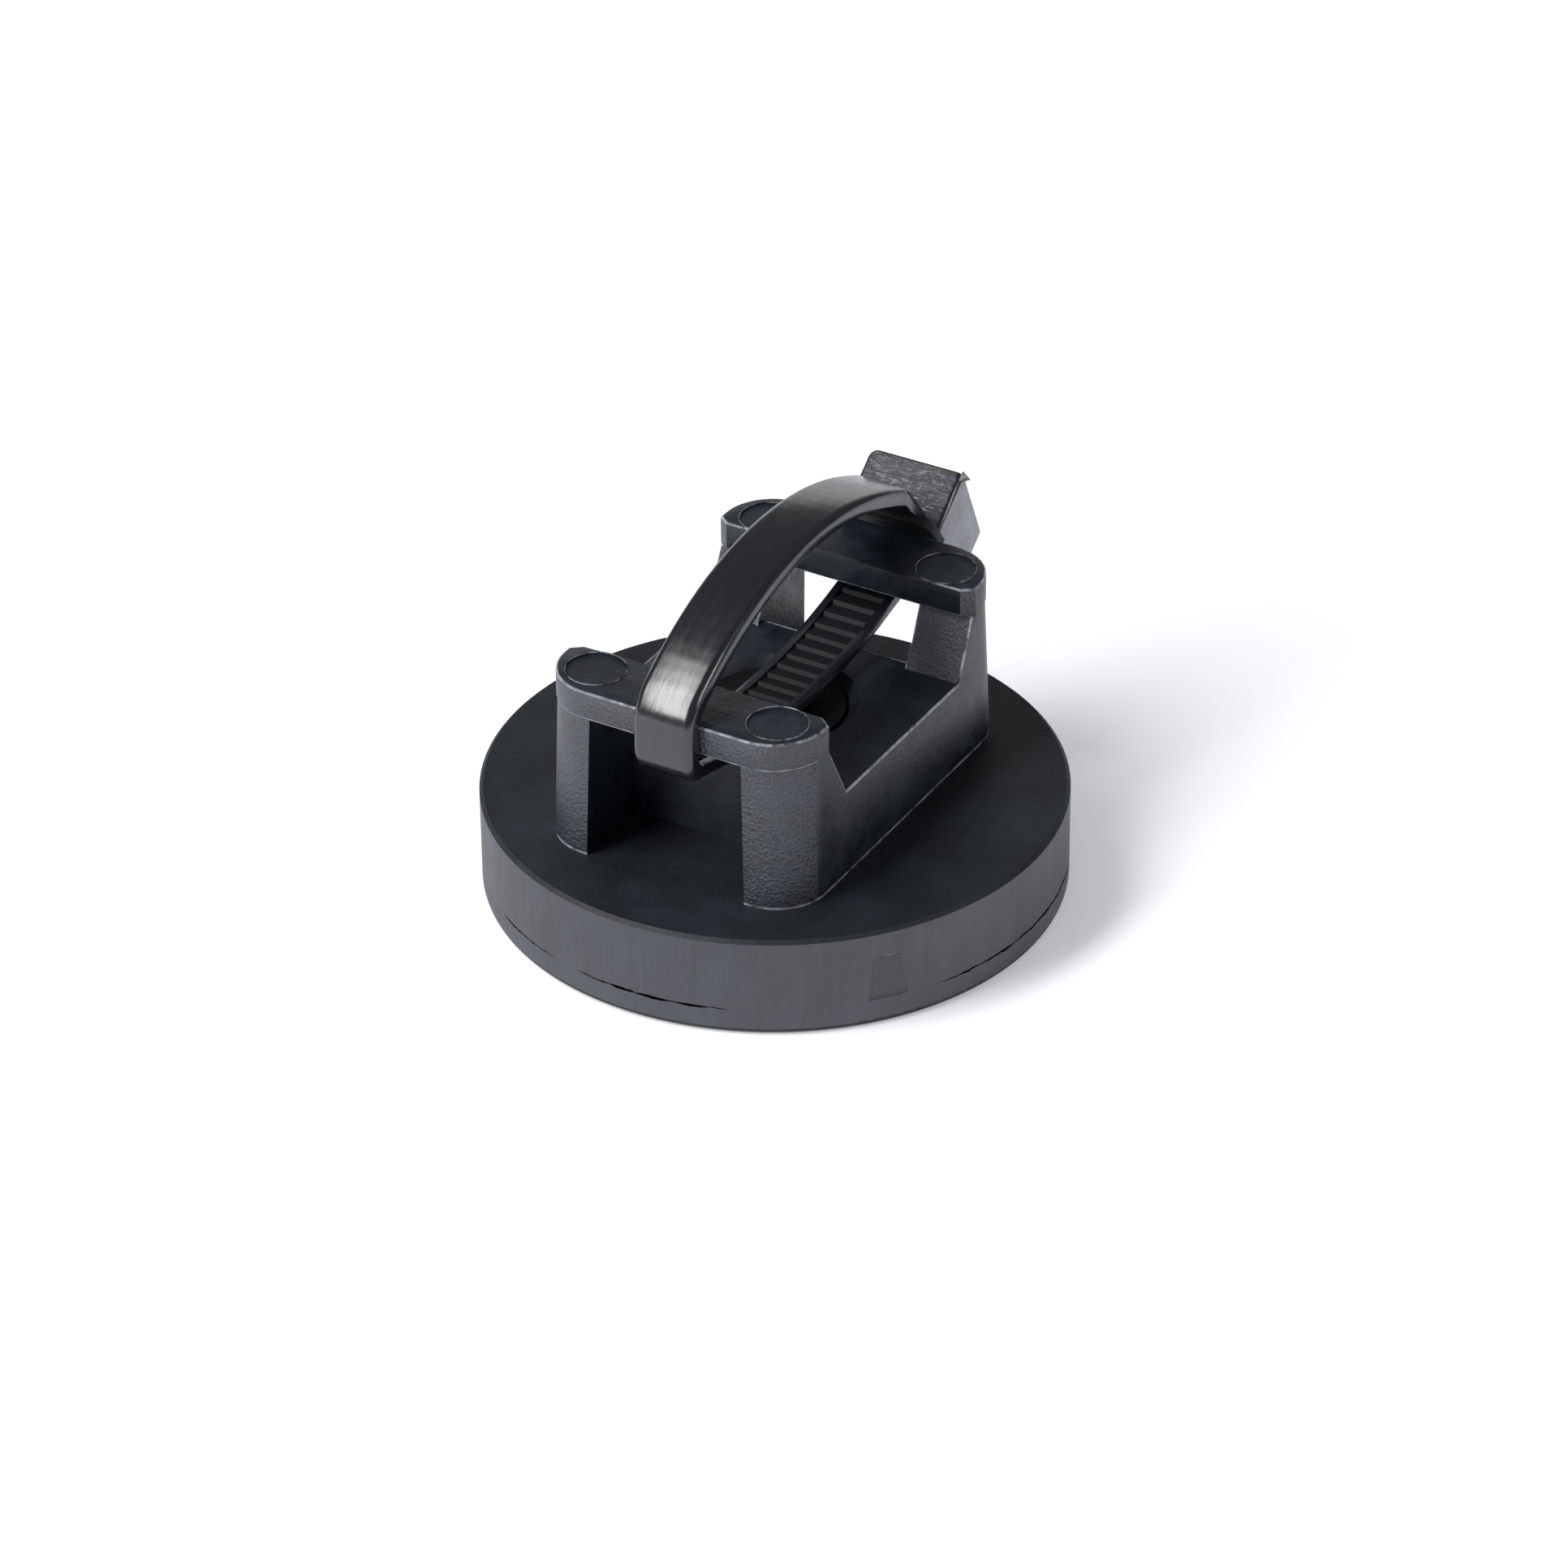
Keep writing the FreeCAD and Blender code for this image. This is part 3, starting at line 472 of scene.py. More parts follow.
def glossy_strap_nylon():
    """The strap's polished outside: a bright sheen broken by scuffs along the strap, which are drawn
    thicker than the real hairlines so that they show."""
    material, tree = new_material("glossy_strap_nylon")
    place = add_node(tree, "TexCoord", result="Object")
    along = add_node(tree, "Mapping", {"Scale": (1, 0.15, 0.15)}, {"Vector": place})
    scuff = add_node(tree, "TexNoise", {"Scale": per_metre(0.29), "Detail": 5, "Roughness": 0.65},
                     {"Vector": along})
    colour = add_node(tree, "Mix", {6: tint("#15171a"), 7: tint("#212327")}, {0: scuff}, 2, data_type="RGBA")
    dulled = add_node(tree, "MapRange", {"From Min": 0.35, "From Max": 0.7, "To Min": 0.17, "To Max": 0.27},
                      {"Value": scuff})
    bump = add_node(tree, "Bump", {"Strength": 0.5, "Distance": 0.015 * MM}, {"Height": scuff})
    surface = add_node(tree, "BsdfPrincipled", {"IOR": 1.5, "Specular IOR Level": SHEEN},
                       {"Base Color": colour, "Roughness": dulled, "Normal": bump})
    add_node(tree, "OutputMaterial", links={"Surface": surface})
    return material


def ladder_nylon():
    """The strap's toothed inside, the pawl and the lip, dulled by the cutter marks of their mould."""
    material, tree = new_material("dull_ladder_nylon")
    place = add_node(tree, "TexCoord", result="Object")
    grain = add_node(tree, "TexNoise", {"Scale": per_metre(0.33), "Detail": 4, "Roughness": 0.55},
                     {"Vector": place})
    colour = add_node(tree, "Mix", {6: tint("#0b0e11"), 7: tint("#15191d")}, {0: grain}, 2, data_type="RGBA")
    bump = add_node(tree, "Bump", {"Strength": 0.5, "Distance": 0.03 * MM}, {"Height": grain})
    surface = add_node(tree, "BsdfPrincipled", {"Roughness": 0.65, "IOR": 1.5, "Specular IOR Level": 0.3},
                       {"Base Color": colour, "Normal": bump})
    add_node(tree, "OutputMaterial", links={"Surface": surface})
    return material


def matt_head_nylon_painted_light():
    """The head's moulded sides: paler than the black nylon as painted light, mottled and nearly matt, with a
    fine grain that is drawn coarser than life so that it shows."""
    material, tree = new_material("matt_head_nylon_painted_light")
    place = add_node(tree, "TexCoord", result="Object")
    blotches = add_node(tree, "TexNoise", {"Scale": per_metre(1.25), "Detail": 6, "Roughness": 0.65},
                        {"Vector": place})
    cloud = add_node(tree, "MapRange", {"From Min": 0.3, "From Max": 0.7}, {"Value": blotches})
    colour = add_node(tree, "Mix", {6: tint("#838489"), 7: tint("#a7a8ae")}, {0: cloud}, 2, data_type="RGBA")
    grain = add_node(tree, "TexNoise", {"Scale": per_metre(0.24), "Detail": 4, "Roughness": 0.55},
                     {"Vector": place})
    bump = add_node(tree, "Bump", {"Strength": 0.5, "Distance": 0.05 * MM}, {"Height": grain})
    surface = add_node(tree, "BsdfPrincipled", {"Roughness": 0.5, "IOR": 1.5, "Specular IOR Level": SHEEN},
                       {"Base Color": colour, "Normal": bump})
    add_node(tree, "OutputMaterial", links={"Surface": surface})
    return material


def torn_nylon():
    """The head's root end: nylon drawn out in short scratches across it, pale on dark."""
    material, tree = new_material("torn_nylon")
    place = add_node(tree, "TexCoord", result="Object")
    drawn = add_node(tree, "Mapping", {"Scale": (0.3, 1, 1)}, {"Vector": place})
    scratches = add_node(tree, "TexNoise", {"Scale": per_metre(0.21), "Detail": 4, "Roughness": 0.65},
                         {"Vector": drawn})
    tear = add_node(tree, "MapRange", {"From Min": 0.42, "From Max": 0.63}, {"Value": scratches})
    colour = add_node(tree, "Mix", {6: tint("#0c0d10"), 7: tint("#5f6067")}, {0: tear}, 2, data_type="RGBA")
    bump = add_node(tree, "Bump", {"Strength": 0.7, "Distance": 0.06 * MM}, {"Height": tear})
    surface = add_node(tree, "BsdfPrincipled", {"Roughness": 0.4, "IOR": 1.5, "Specular IOR Level": SHEEN},
                       {"Base Color": colour, "Normal": bump})
    add_node(tree, "OutputMaterial", links={"Surface": surface})
    return material


def plain_metal(name, colour, roughness):
    """Plain metal with a faint cloudy sheen."""
    material, tree = new_material(name)
    place = add_node(tree, "TexCoord", result="Object")
    cloud = add_node(tree, "TexNoise", {"Scale": per_metre(1.7), "Detail": 3, "Roughness": 0.55},
                     {"Vector": place})
    dulled = add_node(tree, "MapRange", {"To Min": roughness - 0.08, "To Max": roughness + 0.08},
                      {"Value": cloud})
    surface = add_node(tree, "BsdfPrincipled", {"Base Color": tint(colour), "Metallic": 1},
                       {"Roughness": dulled})
    add_node(tree, "OutputMaterial", links={"Surface": surface})
    return material


# Rubber jacket

def angle_of(place):
    return math.degrees(math.atan2(place.y, place.x))


def leaning_plane(turn, lean):
    """The normal of an upright plane through the disc's axis, tipped a little to one side."""
    return Vector((-math.sin(math.radians(turn)), math.cos(math.radians(turn)), lean))


def rubber_jacket():
    """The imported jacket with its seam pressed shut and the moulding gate's patch sunk in its side."""
    jacket = merged_copy("rubber_jacket", "dressed_rubber_jacket")
    side, gate = rubber_side(), gate_scar()
    set_materials(jacket, rubber_top(), side, gate, WORN_AND_HIGHLIT_EDGE)
    foot = Vector((0, 0, GATE_FOOT))
    top = Vector((0, 0, GATE_TOP))
    left, right = [leaning_plane(*plane) for plane in GATE_SIDES]

    def in_seam(a):
        return abs(a.z - PARTING_HEIGHT) < 0.02 and abs(a.xy.length - GROOVED_RADIUS) < 0.02

    def on_wall(middle):
        return middle.xy.length > DISC_RADIUS - WALL_DEPTH and middle.z > FOOT_ROUNDING - 0.05

    def near_gate(middle):
        return on_wall(middle) and GATE_SURROUNDINGS[0] < angle_of(middle) < GATE_SURROUNDINGS[1]

    def on_gate(middle):
        return near_gate(middle) and (middle - foot).dot(left) > 0 > (middle - foot).dot(right) \
            and GATE_FOOT < middle.z < GATE_TOP

    bpy.ops.object.mode_set(mode="EDIT")
    shut = CLOSED_RADIUS / GROOVED_RADIUS
    select_vertices(jacket, in_seam)
    bpy.ops.transform.resize(value=(shut, shut, 1), center_override=(0, 0, 0))
    # The wall takes the rubber that is painted paler than the top as painted light.
    select_faces(jacket, lambda middle, normal: on_wall(middle) and normal.z < 0.5)
    use_material(jacket, side)
    for point, normal in ((foot, left), (foot, right), (foot, (0, 0, 1)), (top, (0, 0, 1))):
        select_faces(jacket, lambda middle, normal: near_gate(middle))
        bpy.ops.mesh.bisect(plane_co=point * MM, plane_no=normal)
    select_faces(jacket, lambda middle, normal: on_gate(middle))
    bpy.ops.mesh.inset(thickness=GATE_BORDER * MM, depth=-GATE_SINK * MM)
    use_material(jacket, gate)
    # The gate's top border is painted pale as a highlight, with the corners' material.
    select_faces(jacket, lambda middle, normal: on_gate(middle) and middle.z > GATE_TOP - GATE_BORDER)
    use_material(jacket, WORN_AND_HIGHLIT_EDGE)
    bpy.ops.object.mode_set(mode="OBJECT")
    smooth(jacket)
    return jacket


# Saddle

def on_screw_hole(a):
    return a.xy.length < SCREW_HOLE_REACH and a.z < FLOOR_HEIGHT + 0.01


def on_ejector_mark(a):
    from_middle = math.hypot(abs(a.x) - MARK_X, abs(a.y) - MARK_Y)
    return a.z > BAR_TOP - MARK_DEPTH - 0.01 and abs(from_middle - MARK_RADIUS) < 0.1


def on_foot(a):
    return a.z < DISC_TOP + 0.01


def on_mould_step(a):
    return abs(a.z - BAR_UNDERSIDE) < 0.01 and abs(abs(a.x) - POST_SIDE) < 0.1


def is_worn_and_highlit(a, b, turn):
    """An outer corner that gets rubbed in use and is painted pale as wear and highlight: the upright ones
    stay clean.
    """
    if turn < math.radians(40) or abs(a.z - b.z) > 0.99 * (a - b).length:
        return False
    kept_sharp = (on_screw_hole, on_ejector_mark, on_foot, on_mould_step)
    return not any(test(a) and test(b) for test in kept_sharp)


def takes_shaded_nylon(middle, normal):
    """A face that gets the smooth nylon with its painted shade: a top, which the mould leaves smooth, a side
    of the saddle or an end of its block.
    """
    on_block = abs(middle.y) < BLOCK_REACH and abs(middle.x) < MARK_X
    return normal.z > 0.6 or abs(normal.x) > 0.97 or abs(normal.y) > 0.9 and on_block


def is_foot_flash(middle, normal):
    """The thin strip of flash round the outside of the saddle's foot, painted pale as a reflection of the
    disc's top.
    """
    return DISC_TOP < middle.z < DISC_TOP + FOOT_FLASH_HEIGHT and abs(normal.z) < 0.5 \
        and middle.dot(normal) > OUTER_WALL_REACH


def nylon_saddle():
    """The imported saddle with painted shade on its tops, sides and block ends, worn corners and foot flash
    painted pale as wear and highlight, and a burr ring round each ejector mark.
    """
    saddle = merged_copy("saddle", "dressed_saddle")
    tops = smooth_nylon()
    set_materials(saddle, spark_grained_nylon(), tops, WORN_AND_HIGHLIT_EDGE)
    bpy.ops.object.mode_set(mode="EDIT")
    # The tops, the sides and the block's ends take the darker nylon, whose darkness is painted shade.
    select_faces(saddle, takes_shaded_nylon)
    use_material(saddle, tops)
    select_edges(saddle, is_worn_and_highlit)
    highlit_edge_slot = saddle.data.materials.find(WORN_AND_HIGHLIT_EDGE.name)
    bpy.ops.mesh.bevel(offset=PALE_EDGE_WIDTH * MM, segments=2, clamp_overlap=False, material=highlit_edge_slot)
    # The strip round the foot is flash, painted pale as a reflection of the disc's top.
    cut_across((0, 0, DISC_TOP + FOOT_FLASH_HEIGHT), (0, 0, 1))
    select_faces(saddle, is_foot_flash)
    use_material(saddle, WORN_AND_HIGHLIT_EDGE)
    bpy.ops.object.mode_set(mode="OBJECT")
    burr = moulding_burr()
    rings = []
    for x, y in ((1, 1), (-1, 1), (1, -1), (-1, -1)):
        ring = new_primitive("burr_ring", bpy.ops.mesh.primitive_torus_add, major_radius=MARK_RADIUS * MM,
                             minor_radius=BURR_RADIUS * MM, major_segments=64, minor_segments=6,
                             location=(x * MARK_X * MM, y * MARK_Y * MM, BAR_TOP * MM))
        set_materials(ring, burr)
        rings.append(ring)
    join(saddle, rings)
    smooth(saddle)
    return saddle


# Cable tie

def route_curve():
    """The strap's route as a flat curve: each bend is one curve piece between two straight runs."""
    corners = [Vector((y, z, 0)) * MM for y, z, _ in STRAP_ROUTE]
    knots = [(corners[0], None, None)]
    for i in range(1, len(corners) - 1):
        before = (corners[i] - corners[i - 1]).normalized()
        after = (corners[i + 1] - corners[i]).normalized()
        turn = before.angle(after)
        radius = STRAP_ROUTE[i][2] * MM
        trim = radius * math.tan(turn / 2)
        handle = 4 / 3 * math.tan(turn / 4) * radius
        start = corners[i] - before * trim
        end = corners[i] + after * trim
        knots.append((start, None, start + before * handle))
        knots.append((end, end - after * handle, None))
    knots.append((corners[-1], None, None))
    data = bpy.data.curves.new("strap_route", "CURVE")
    data.dimensions = "2D"
    data.resolution_u = 24
    spline = data.splines.new("BEZIER")
    spline.bezier_points.add(len(knots) - 1)
    for i, (place, left, right) in enumerate(knots):
        previous = knots[max(i - 1, 0)][0]
        following = knots[min(i + 1, len(knots) - 1)][0]
        point = spline.bezier_points[i]
        point.co = place
        point.handle_left_type = "FREE"
        point.handle_right_type = "FREE"
        point.handle_left = left or place.lerp(previous, 1 / 3)
        point.handle_right = right or place.lerp(following, 1 / 3)
    route = bpy.data.objects.new("strap_route", data)
    bpy.context.collection.objects.link(route)
    return route


def on_track(a):
    """Between the rails, or on their inner edges."""
    return abs(a.z) < HALF_TRACK + 0.01


def strap_link(pitch):
    """One tooth's length of strap: rounded outside, a parting groove on each side, a tooth inside."""
    crest = HALF_THICKNESS - TOOTH_SINK
    link = new_primitive("strap", bpy.ops.mesh.primitive_cube_add, size=1, location=(pitch / 2 * MM, 0, 0),
                         scale=(pitch * MM, STRAP_THICKNESS * MM, STRAP_WIDTH * MM))
    settle(link)

    def runs_along(a, b):
        return abs(a.z - b.z) < 0.01

    bpy.ops.object.mode_set(mode="EDIT")
    select_faces(link, lambda middle, normal: abs(normal.x) > 0.9)
    bpy.ops.mesh.delete(type="FACE")
    select_edges(link, lambda a, b, turn: max(a.y, b.y) < 0 and runs_along(a, b))
    bpy.ops.mesh.bevel(offset=STRAP_ROUNDING * MM, segments=6)
    select_edges(link, lambda a, b, turn: min(a.y, b.y) > HALF_THICKNESS - 0.01 and runs_along(a, b))
    bpy.ops.mesh.bevel(offset=INNER_ROUNDING * MM, segments=2)
    for level in SIDE_GROOVE:
        cut_across((0, level, 0), (0, 1, 0))
    narrowed = 1 - 2 * SIDE_GROOVE_DEPTH / STRAP_WIDTH
    select_vertices(link, lambda a: abs(a.y - SIDE_GROOVE[1]) < 0.005)
    bpy.ops.transform.resize(value=(1, 1, narrowed), center_override=(0, 0, 0))
    for side in (-HALF_TRACK, HALF_TRACK):
        cut_across((0, 0, side), (0, 0, 1))
    select_faces(link, lambda middle, normal: middle.y > HALF_THICKNESS - 0.01 and on_track(middle))
    bpy.ops.mesh.extrude_region_move(TRANSFORM_OT_translate={"value": (0, -TOOTH_SINK * MM, 0)})
    for share in TOOTH_ROWS:
        cut_across((pitch * share, 0, 0), (1, 0, 0))
    for share in TOOTH_ROWS:
        select_vertices(link, lambda a: abs(a.x - pitch * share) < 0.005 and abs(a.y - crest) < 0.005
                        and on_track(a))
        bpy.ops.transform.translate(value=(0, -TOOTH_DEPTH * share / TOOTH_ROWS[-1] * MM, 0))
    set_materials(link, TIE_NYLON, LADDER_NYLON)
    select_faces(link, lambda middle, normal: middle.y > 0.1 and on_track(middle))
    use_material(link, LADDER_NYLON)
    bpy.ops.object.mode_set(mode="OBJECT")
    return link


def strap():
    """The links laid end to end, without teeth near the head, and bent along the route."""
    route = route_curve()
    length = route.data.splines[0].calc_length()
    count = round(length / (TOOTH_PITCH * MM))
    pitch = length / count / MM
    band = strap_link(pitch)
    apply_modifier(band, "ARRAY", count=count, use_relative_offset=False, use_constant_offset=True,
                   constant_offset_displace=(pitch * MM, 0, 0), use_merge_vertices=True,
                   merge_threshold=MERGE_GAP * MM)
    bpy.ops.object.mode_set(mode="EDIT")
    select_vertices(band, lambda a: a.x < SMOOTH_RUN and a.y > 0.15 and on_track(a))
    bpy.ops.transform.resize(value=(1, 0, 1), center_override=(0, HALF_THICKNESS * MM, 0))
    bpy.ops.mesh.select_all(action="SELECT")
    bpy.ops.mesh.remove_doubles(threshold=MERGE_GAP * MM)
    bpy.ops.mesh.select_all(action="DESELECT")
    bpy.ops.mesh.select_mode(type="EDGE")
    bpy.ops.mesh.select_non_manifold(extend=False)
    bpy.ops.mesh.edge_face_add()
    bpy.ops.object.mode_set(mode="OBJECT")
    apply_modifier(band, "CURVE", object=route)
    bpy.data.objects.remove(route)
    return band


def head_directions():
    """The directions out along the slot and from the head's root to its nose, in the tie's own plane."""
    out = Vector((math.cos(math.radians(HEAD_TILT)), math.sin(math.radians(HEAD_TILT)), 0))
    return out, Vector((out.y, -out.x, 0))


def leaning_block(name, start, along, depth, length, width):
    """A box that starts this far out along the slot and this far on from the root to the nose."""
    out, to_nose = head_directions()
    block = new_primitive(name, bpy.ops.mesh.primitive_cube_add, size=1)
    block.scale = (depth * MM, length * MM, width * MM)
    block.rotation_euler.z = math.radians(HEAD_TILT)
    corner = Vector((*HEAD_CORNER, 0)) + out * start + to_nose * along
    block.location = (corner + out * depth / 2 + to_nose * length / 2) * MM
    settle(block)
    return block


def head_block():
    """The skewed block with rounded corners: pale with painted light on its two sides, torn at its root end.
    """
    out, to_nose = head_directions()
    corner = Vector((*HEAD_CORNER, 0))
    lean = math.tan(math.radians(HEAD_SKEW))
    block = leaning_block("head", 0, 0, HEAD_DEPTH, HEAD_LENGTH, HEAD_WIDTH)

    def on_far_side(a):
        return (a - corner).dot(out + to_nose * lean) > HEAD_DEPTH - 0.5

    def at_root(a):
        return (a - corner).dot(to_nose) < 0.1

    bpy.ops.object.mode_set(mode="EDIT")
    select_faces(block, lambda middle, normal: normal.dot(to_nose) > 0.9)
    bpy.ops.transform.translate(value=-out * HEAD_LENGTH * lean * MM)
    select_edges(block, lambda a, b, turn: max(a.z, b.z) < 0 and abs(a.z - b.z) < 0.1
                 and on_far_side(a) and on_far_side(b))
    bpy.ops.mesh.bevel(offset=NOSE_ROUNDING * MM, segments=5)
    select_edges(block, lambda a, b, turn: min(a.z, b.z) > 0 and turn > math.radians(60)
                 and at_root(a) and at_root(b))
    bpy.ops.mesh.bevel(offset=ROOT_ROUNDING * MM, segments=4)
    select_edges(block, lambda a, b, turn: turn > math.radians(40))
    bpy.ops.mesh.bevel(offset=HEAD_ROUNDING * MM, segments=3)
    set_materials(block, TIE_NYLON, HEAD_SIDES_PAINTED_LIGHT, TORN_NYLON)
    # The two sides are painted pale as painted light.
    select_faces(block, lambda middle, normal: abs(normal.z) > 0.9)
    use_material(block, HEAD_SIDES_PAINTED_LIGHT)
    select_faces(block, lambda middle, normal: normal.dot(to_nose) < -0.98)
    use_material(block, TORN_NYLON)
    bpy.ops.object.mode_set(mode="OBJECT")
    return block


def pawl(start):
    """The locking tongue inside the slot, bent towards the strap's teeth."""
    out, to_nose = head_directions()
    tongue = leaning_block("pawl", PAWL_START, start, PAWL_DEPTH, PAWL_LENGTH, PAWL_WIDTH)
    bpy.ops.object.mode_set(mode="EDIT")
    select_faces(tongue, lambda middle, normal: normal.dot(out) > 0.9)
    bpy.ops.transform.translate(value=to_nose * PAWL_BEND * MM)
    bpy.ops.transform.resize(value=(PAWL_TAPER, PAWL_TAPER, 1))
    bpy.ops.mesh.select_all(action="SELECT")
    bpy.ops.mesh.bevel(offset=PAWL_ROUNDING * MM, segments=2)
    bpy.ops.object.mode_set(mode="OBJECT")
    set_materials(tongue, LADDER_NYLON)
    return tongue


def root_lip():
    """The lip below the strap's root, with two rounded corners."""
    out, to_nose = head_directions()
    corner = Vector((*HEAD_CORNER, 0))
    lip = leaning_block("lip", -LIP_DROP, -LIP_REACH, LIP_DROP + LIP_SINK, LIP_REACH + LIP_TAIL, HEAD_WIDTH)
    bpy.ops.object.mode_set(mode="EDIT")
    select_edges(lip, lambda a, b, turn: abs((a - b).dot(out)) > LIP_DROP
                 and (a - corner).dot(to_nose) < 0.1 - LIP_REACH)
    bpy.ops.mesh.bevel(offset=LIP_ROUNDING * MM, segments=10)
    select_edges(lip, lambda a, b, turn: turn > math.radians(60))
    bpy.ops.mesh.bevel(offset=LIP_EDGE_ROUNDING * MM, segments=2)
    bpy.ops.object.mode_set(mode="OBJECT")
    set_materials(lip, LADDER_NYLON)
    return lip


def corner_shred():
    """The three-cornered shred of nylon at the head's root corner."""
    out, to_nose = head_directions()
    shred = new_primitive("shred", bpy.ops.mesh.primitive_cylinder_add, vertices=3,
                          radius=SHRED_RADIUS * MM, depth=SHRED_THICKNESS * MM, rotation=(math.pi / 2, 0, 0))
    settle(shred)
    shred.rotation_euler.z = math.radians(HEAD_TILT)
    depth, length, side = SHRED_PLACE
    shred.location = (Vector((*HEAD_CORNER, 0)) + out * depth + to_nose * length + Vector((0, 0, side))) * MM
    settle(shred)
    set_materials(shred, TORN_NYLON)
    return shred


def head():
    """The locking head's parts: the block with the slot through it, the pawl, the lip and the shred."""
    slot_start = SLOT_FROM_ROOT - HALF_THICKNESS - PAWL_ROOM
    slot_length = STRAP_THICKNESS + PAWL_ROOM + SLOT_BACK_GAP
    block = head_block()

    # The slot's cutter stands out well past both sides of the block
    cutter = leaning_block("slot_cutter", CUTTER_START, slot_start, CUTTER_DEPTH, slot_length,
                           STRAP_WIDTH + 2 * SLOT_GAP)
    apply_modifier(block, "BOOLEAN", operation="DIFFERENCE", object=cutter, solver="EXACT")
    bpy.data.objects.remove(cutter)
    return [block, pawl(slot_start - PAWL_ROOT), root_lip(), corner_shred()]


def closed_tie():
    """The strap and its head as one piece, stood up across the cradle."""
    band = strap()
    band.name = "closed_cable_tie"
    join(band, head())
    band.matrix_world = Matrix(((0, 0, 1, STRAP_MIDDLE * MM), (1, 0, 0, 0), (0, 1, 0, 0), (0, 0, 0, 1)))
    settle(band)
    bpy.ops.object.mode_set(mode="EDIT")
    bpy.ops.mesh.select_all(action="SELECT")
    bpy.ops.mesh.normals_make_consistent(inside=False)
    bpy.ops.object.mode_set(mode="OBJECT")
    smooth(band)
    return band


# Floor, light and camera

def camera_share(tree, *rays):
    """One for rays of the named kinds, and nought for the light that falls on the object."""
    kinds = add_node(tree, "LightPath").node.outputs
    share = kinds[rays[0]]
    for ray in rays[1:]:
        share = add_node(tree, "Math", links={0: share, 1: kinds[ray]}, operation="MAXIMUM")
    return share


def floor():
    """White paper, shown to the camera a little lighter than it is lit."""
    ground = new_primitive("floor", bpy.ops.mesh.primitive_plane_add, size=3)
    material, tree = new_material("white_paper")
    paper = add_node(tree, "BsdfDiffuse", {"Color": tint("#f8f8f8")})
    glow = add_node(tree, "Emission", {"Strength": PAPER_LIFT})
    lifted = add_node(tree, "AddShader", links={0: paper, 1: glow})
    share = camera_share(tree, "Is Camera Ray", "Is Glossy Ray", "Is Transmission Ray")
    shown = add_node(tree, "MixShader", links={0: share, 1: paper, 2: lifted})
    add_node(tree, "OutputMaterial", links={"Surface": shown})
    ground.data.materials.append(material)


def soft_light(name, azimuth, elevation, distance, size, power, roll=0):
    """A soft lamp, in metres and watts, that faces the mount from a direction in degrees."""
    data = bpy.data.lights.new(name, "AREA")
    data.shape = "RECTANGLE"
    data.size, data.size_y = size
    data.energy = power
    lamp = bpy.data.objects.new(name, data)
    bpy.context.collection.objects.link(lamp)
    turn, lift = math.radians(azimuth), math.radians(elevation)
    towards = Vector((math.cos(turn) * math.cos(lift), math.sin(turn) * math.cos(lift), math.sin(lift)))
    lamp.location = towards * distance + Vector((0, 0, AIM_HEIGHT * MM))
    aim = towards.to_track_quat("Z", "Y") @ Quaternion((0, 0, 1), math.radians(roll))
    lamp.rotation_euler = aim.to_euler()


def world_light():
    """Dim even light, with a white backdrop for the camera."""
    world = bpy.data.worlds.new("studio")
    world.use_nodes = True
    tree = world.node_tree
    tree.nodes.clear()
    seen = add_node(tree, "Background", {"Color": tint("#ffffff"), "Strength": 1})
    mirrored = add_node(tree, "Background", {"Color": tint("#ffffff"), "Strength": MIRRORED_LIGHT})
    fill = add_node(tree, "Background", {"Color": tint("#e6eeff"), "Strength": FILL_LIGHT})
    glossy = camera_share(tree, "Is Glossy Ray")
    lit = add_node(tree, "MixShader", links={0: glossy, 1: fill, 2: mirrored})
    straight = camera_share(tree, "Is Camera Ray", "Is Transmission Ray")
    shown = add_node(tree, "MixShader", links={0: straight, 1: lit, 2: seen})
    add_node(tree, "OutputWorld", links={"Surface": shown})
    bpy.context.scene.world = world


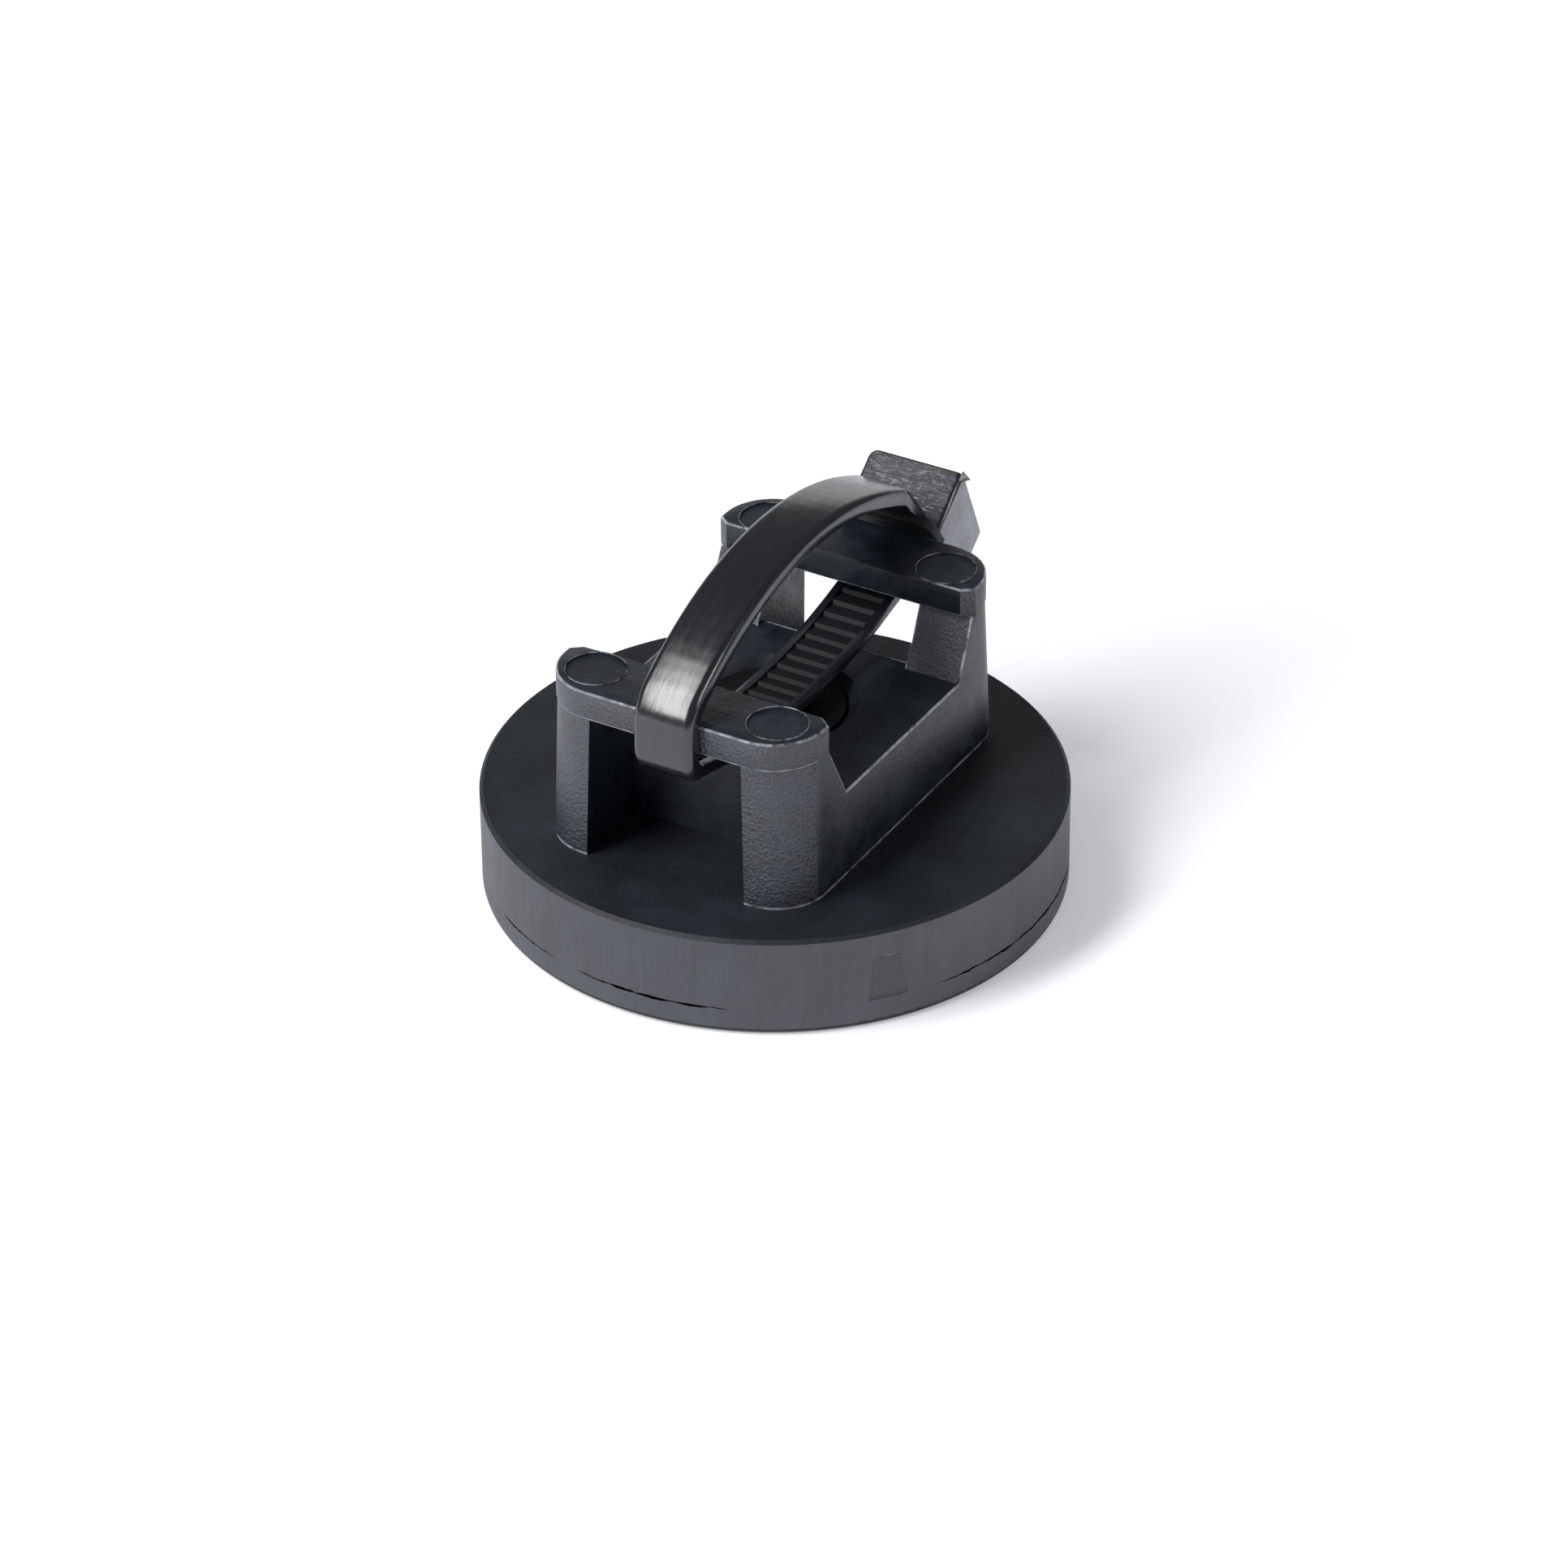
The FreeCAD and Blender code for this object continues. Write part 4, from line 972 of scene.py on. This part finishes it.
def camera():
    """The camera at the photograph's viewing angle."""
    turn, lift, roll = [math.radians(a) for a in (CAMERA_AZIMUTH, CAMERA_ELEVATION, CAMERA_ROLL)]
    level = Vector((math.cos(turn), math.sin(turn), 0))
    back = Vector((math.sin(turn) * math.cos(lift), -math.cos(turn) * math.cos(lift), math.sin(lift)))
    upright = back.cross(level)
    right = level * math.cos(roll) + upright * math.sin(roll)
    up = upright * math.cos(roll) - level * math.sin(roll)
    place = Vector((0, 0, DISC_TOP)) + back * CAMERA_DISTANCE + right * CAMERA_RIGHT - up * CAMERA_DOWN
    data = bpy.data.cameras.new("camera")
    data.lens = LENS
    data.sensor_width = 36
    data.clip_start = 0.01
    view = bpy.data.objects.new("camera", data)
    bpy.context.collection.objects.link(view)
    view.matrix_world = Matrix.Translation(place * MM) @ Matrix((right, up, back)).transposed().to_4x4()
    bpy.context.scene.camera = view


WORN_AND_HIGHLIT_EDGE = worn_and_highlit_nylon_edge()
TIE_NYLON = glossy_strap_nylon()
HEAD_SIDES_PAINTED_LIGHT = matt_head_nylon_painted_light()
TORN_NYLON = torn_nylon()
LADDER_NYLON = ladder_nylon()

jacket = rubber_jacket()
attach(jacket, "root")
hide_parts("rubber_jacket")

saddle = nylon_saddle()
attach(saddle, "root")
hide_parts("saddle")

tie = closed_tie()
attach(tie, "root")
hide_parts("cable_tie")

metals = {
    "backing_plate": plain_metal("zinc_plated_steel", "#b9bcbf", 0.35),
    "threaded_bush": plain_metal("turned_steel", "#a9abae", 0.3),
    "saddle_screw": plain_metal("blackened_steel_screw", "#3a3c3f", 0.4),
}
magnet_finish = plain_metal("nickel_plated_magnet", "#c9c6bf", 0.22)
for number in range(1, 7):
    metals[f"magnet_{number}"] = magnet_finish
for node, metal in metals.items():
    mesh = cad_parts[node].data
    mesh.materials.clear()
    mesh.materials.append(metal)

floor()
world_light()
soft_light("front_left_strip", azimuth=-125.5, elevation=43, distance=0.6, size=(0.18, 0.66), power=4,
           roll=30)
soft_light("from_the_right", azimuth=5, elevation=25, distance=0.6, size=(0.1, 0.3), power=0.6)
soft_light("backdrop_glow", azimuth=118, elevation=9, distance=0.8, size=(0.8, 0.25), power=0.6)
camera()

bpy.context.scene.view_settings.view_transform = "Standard"
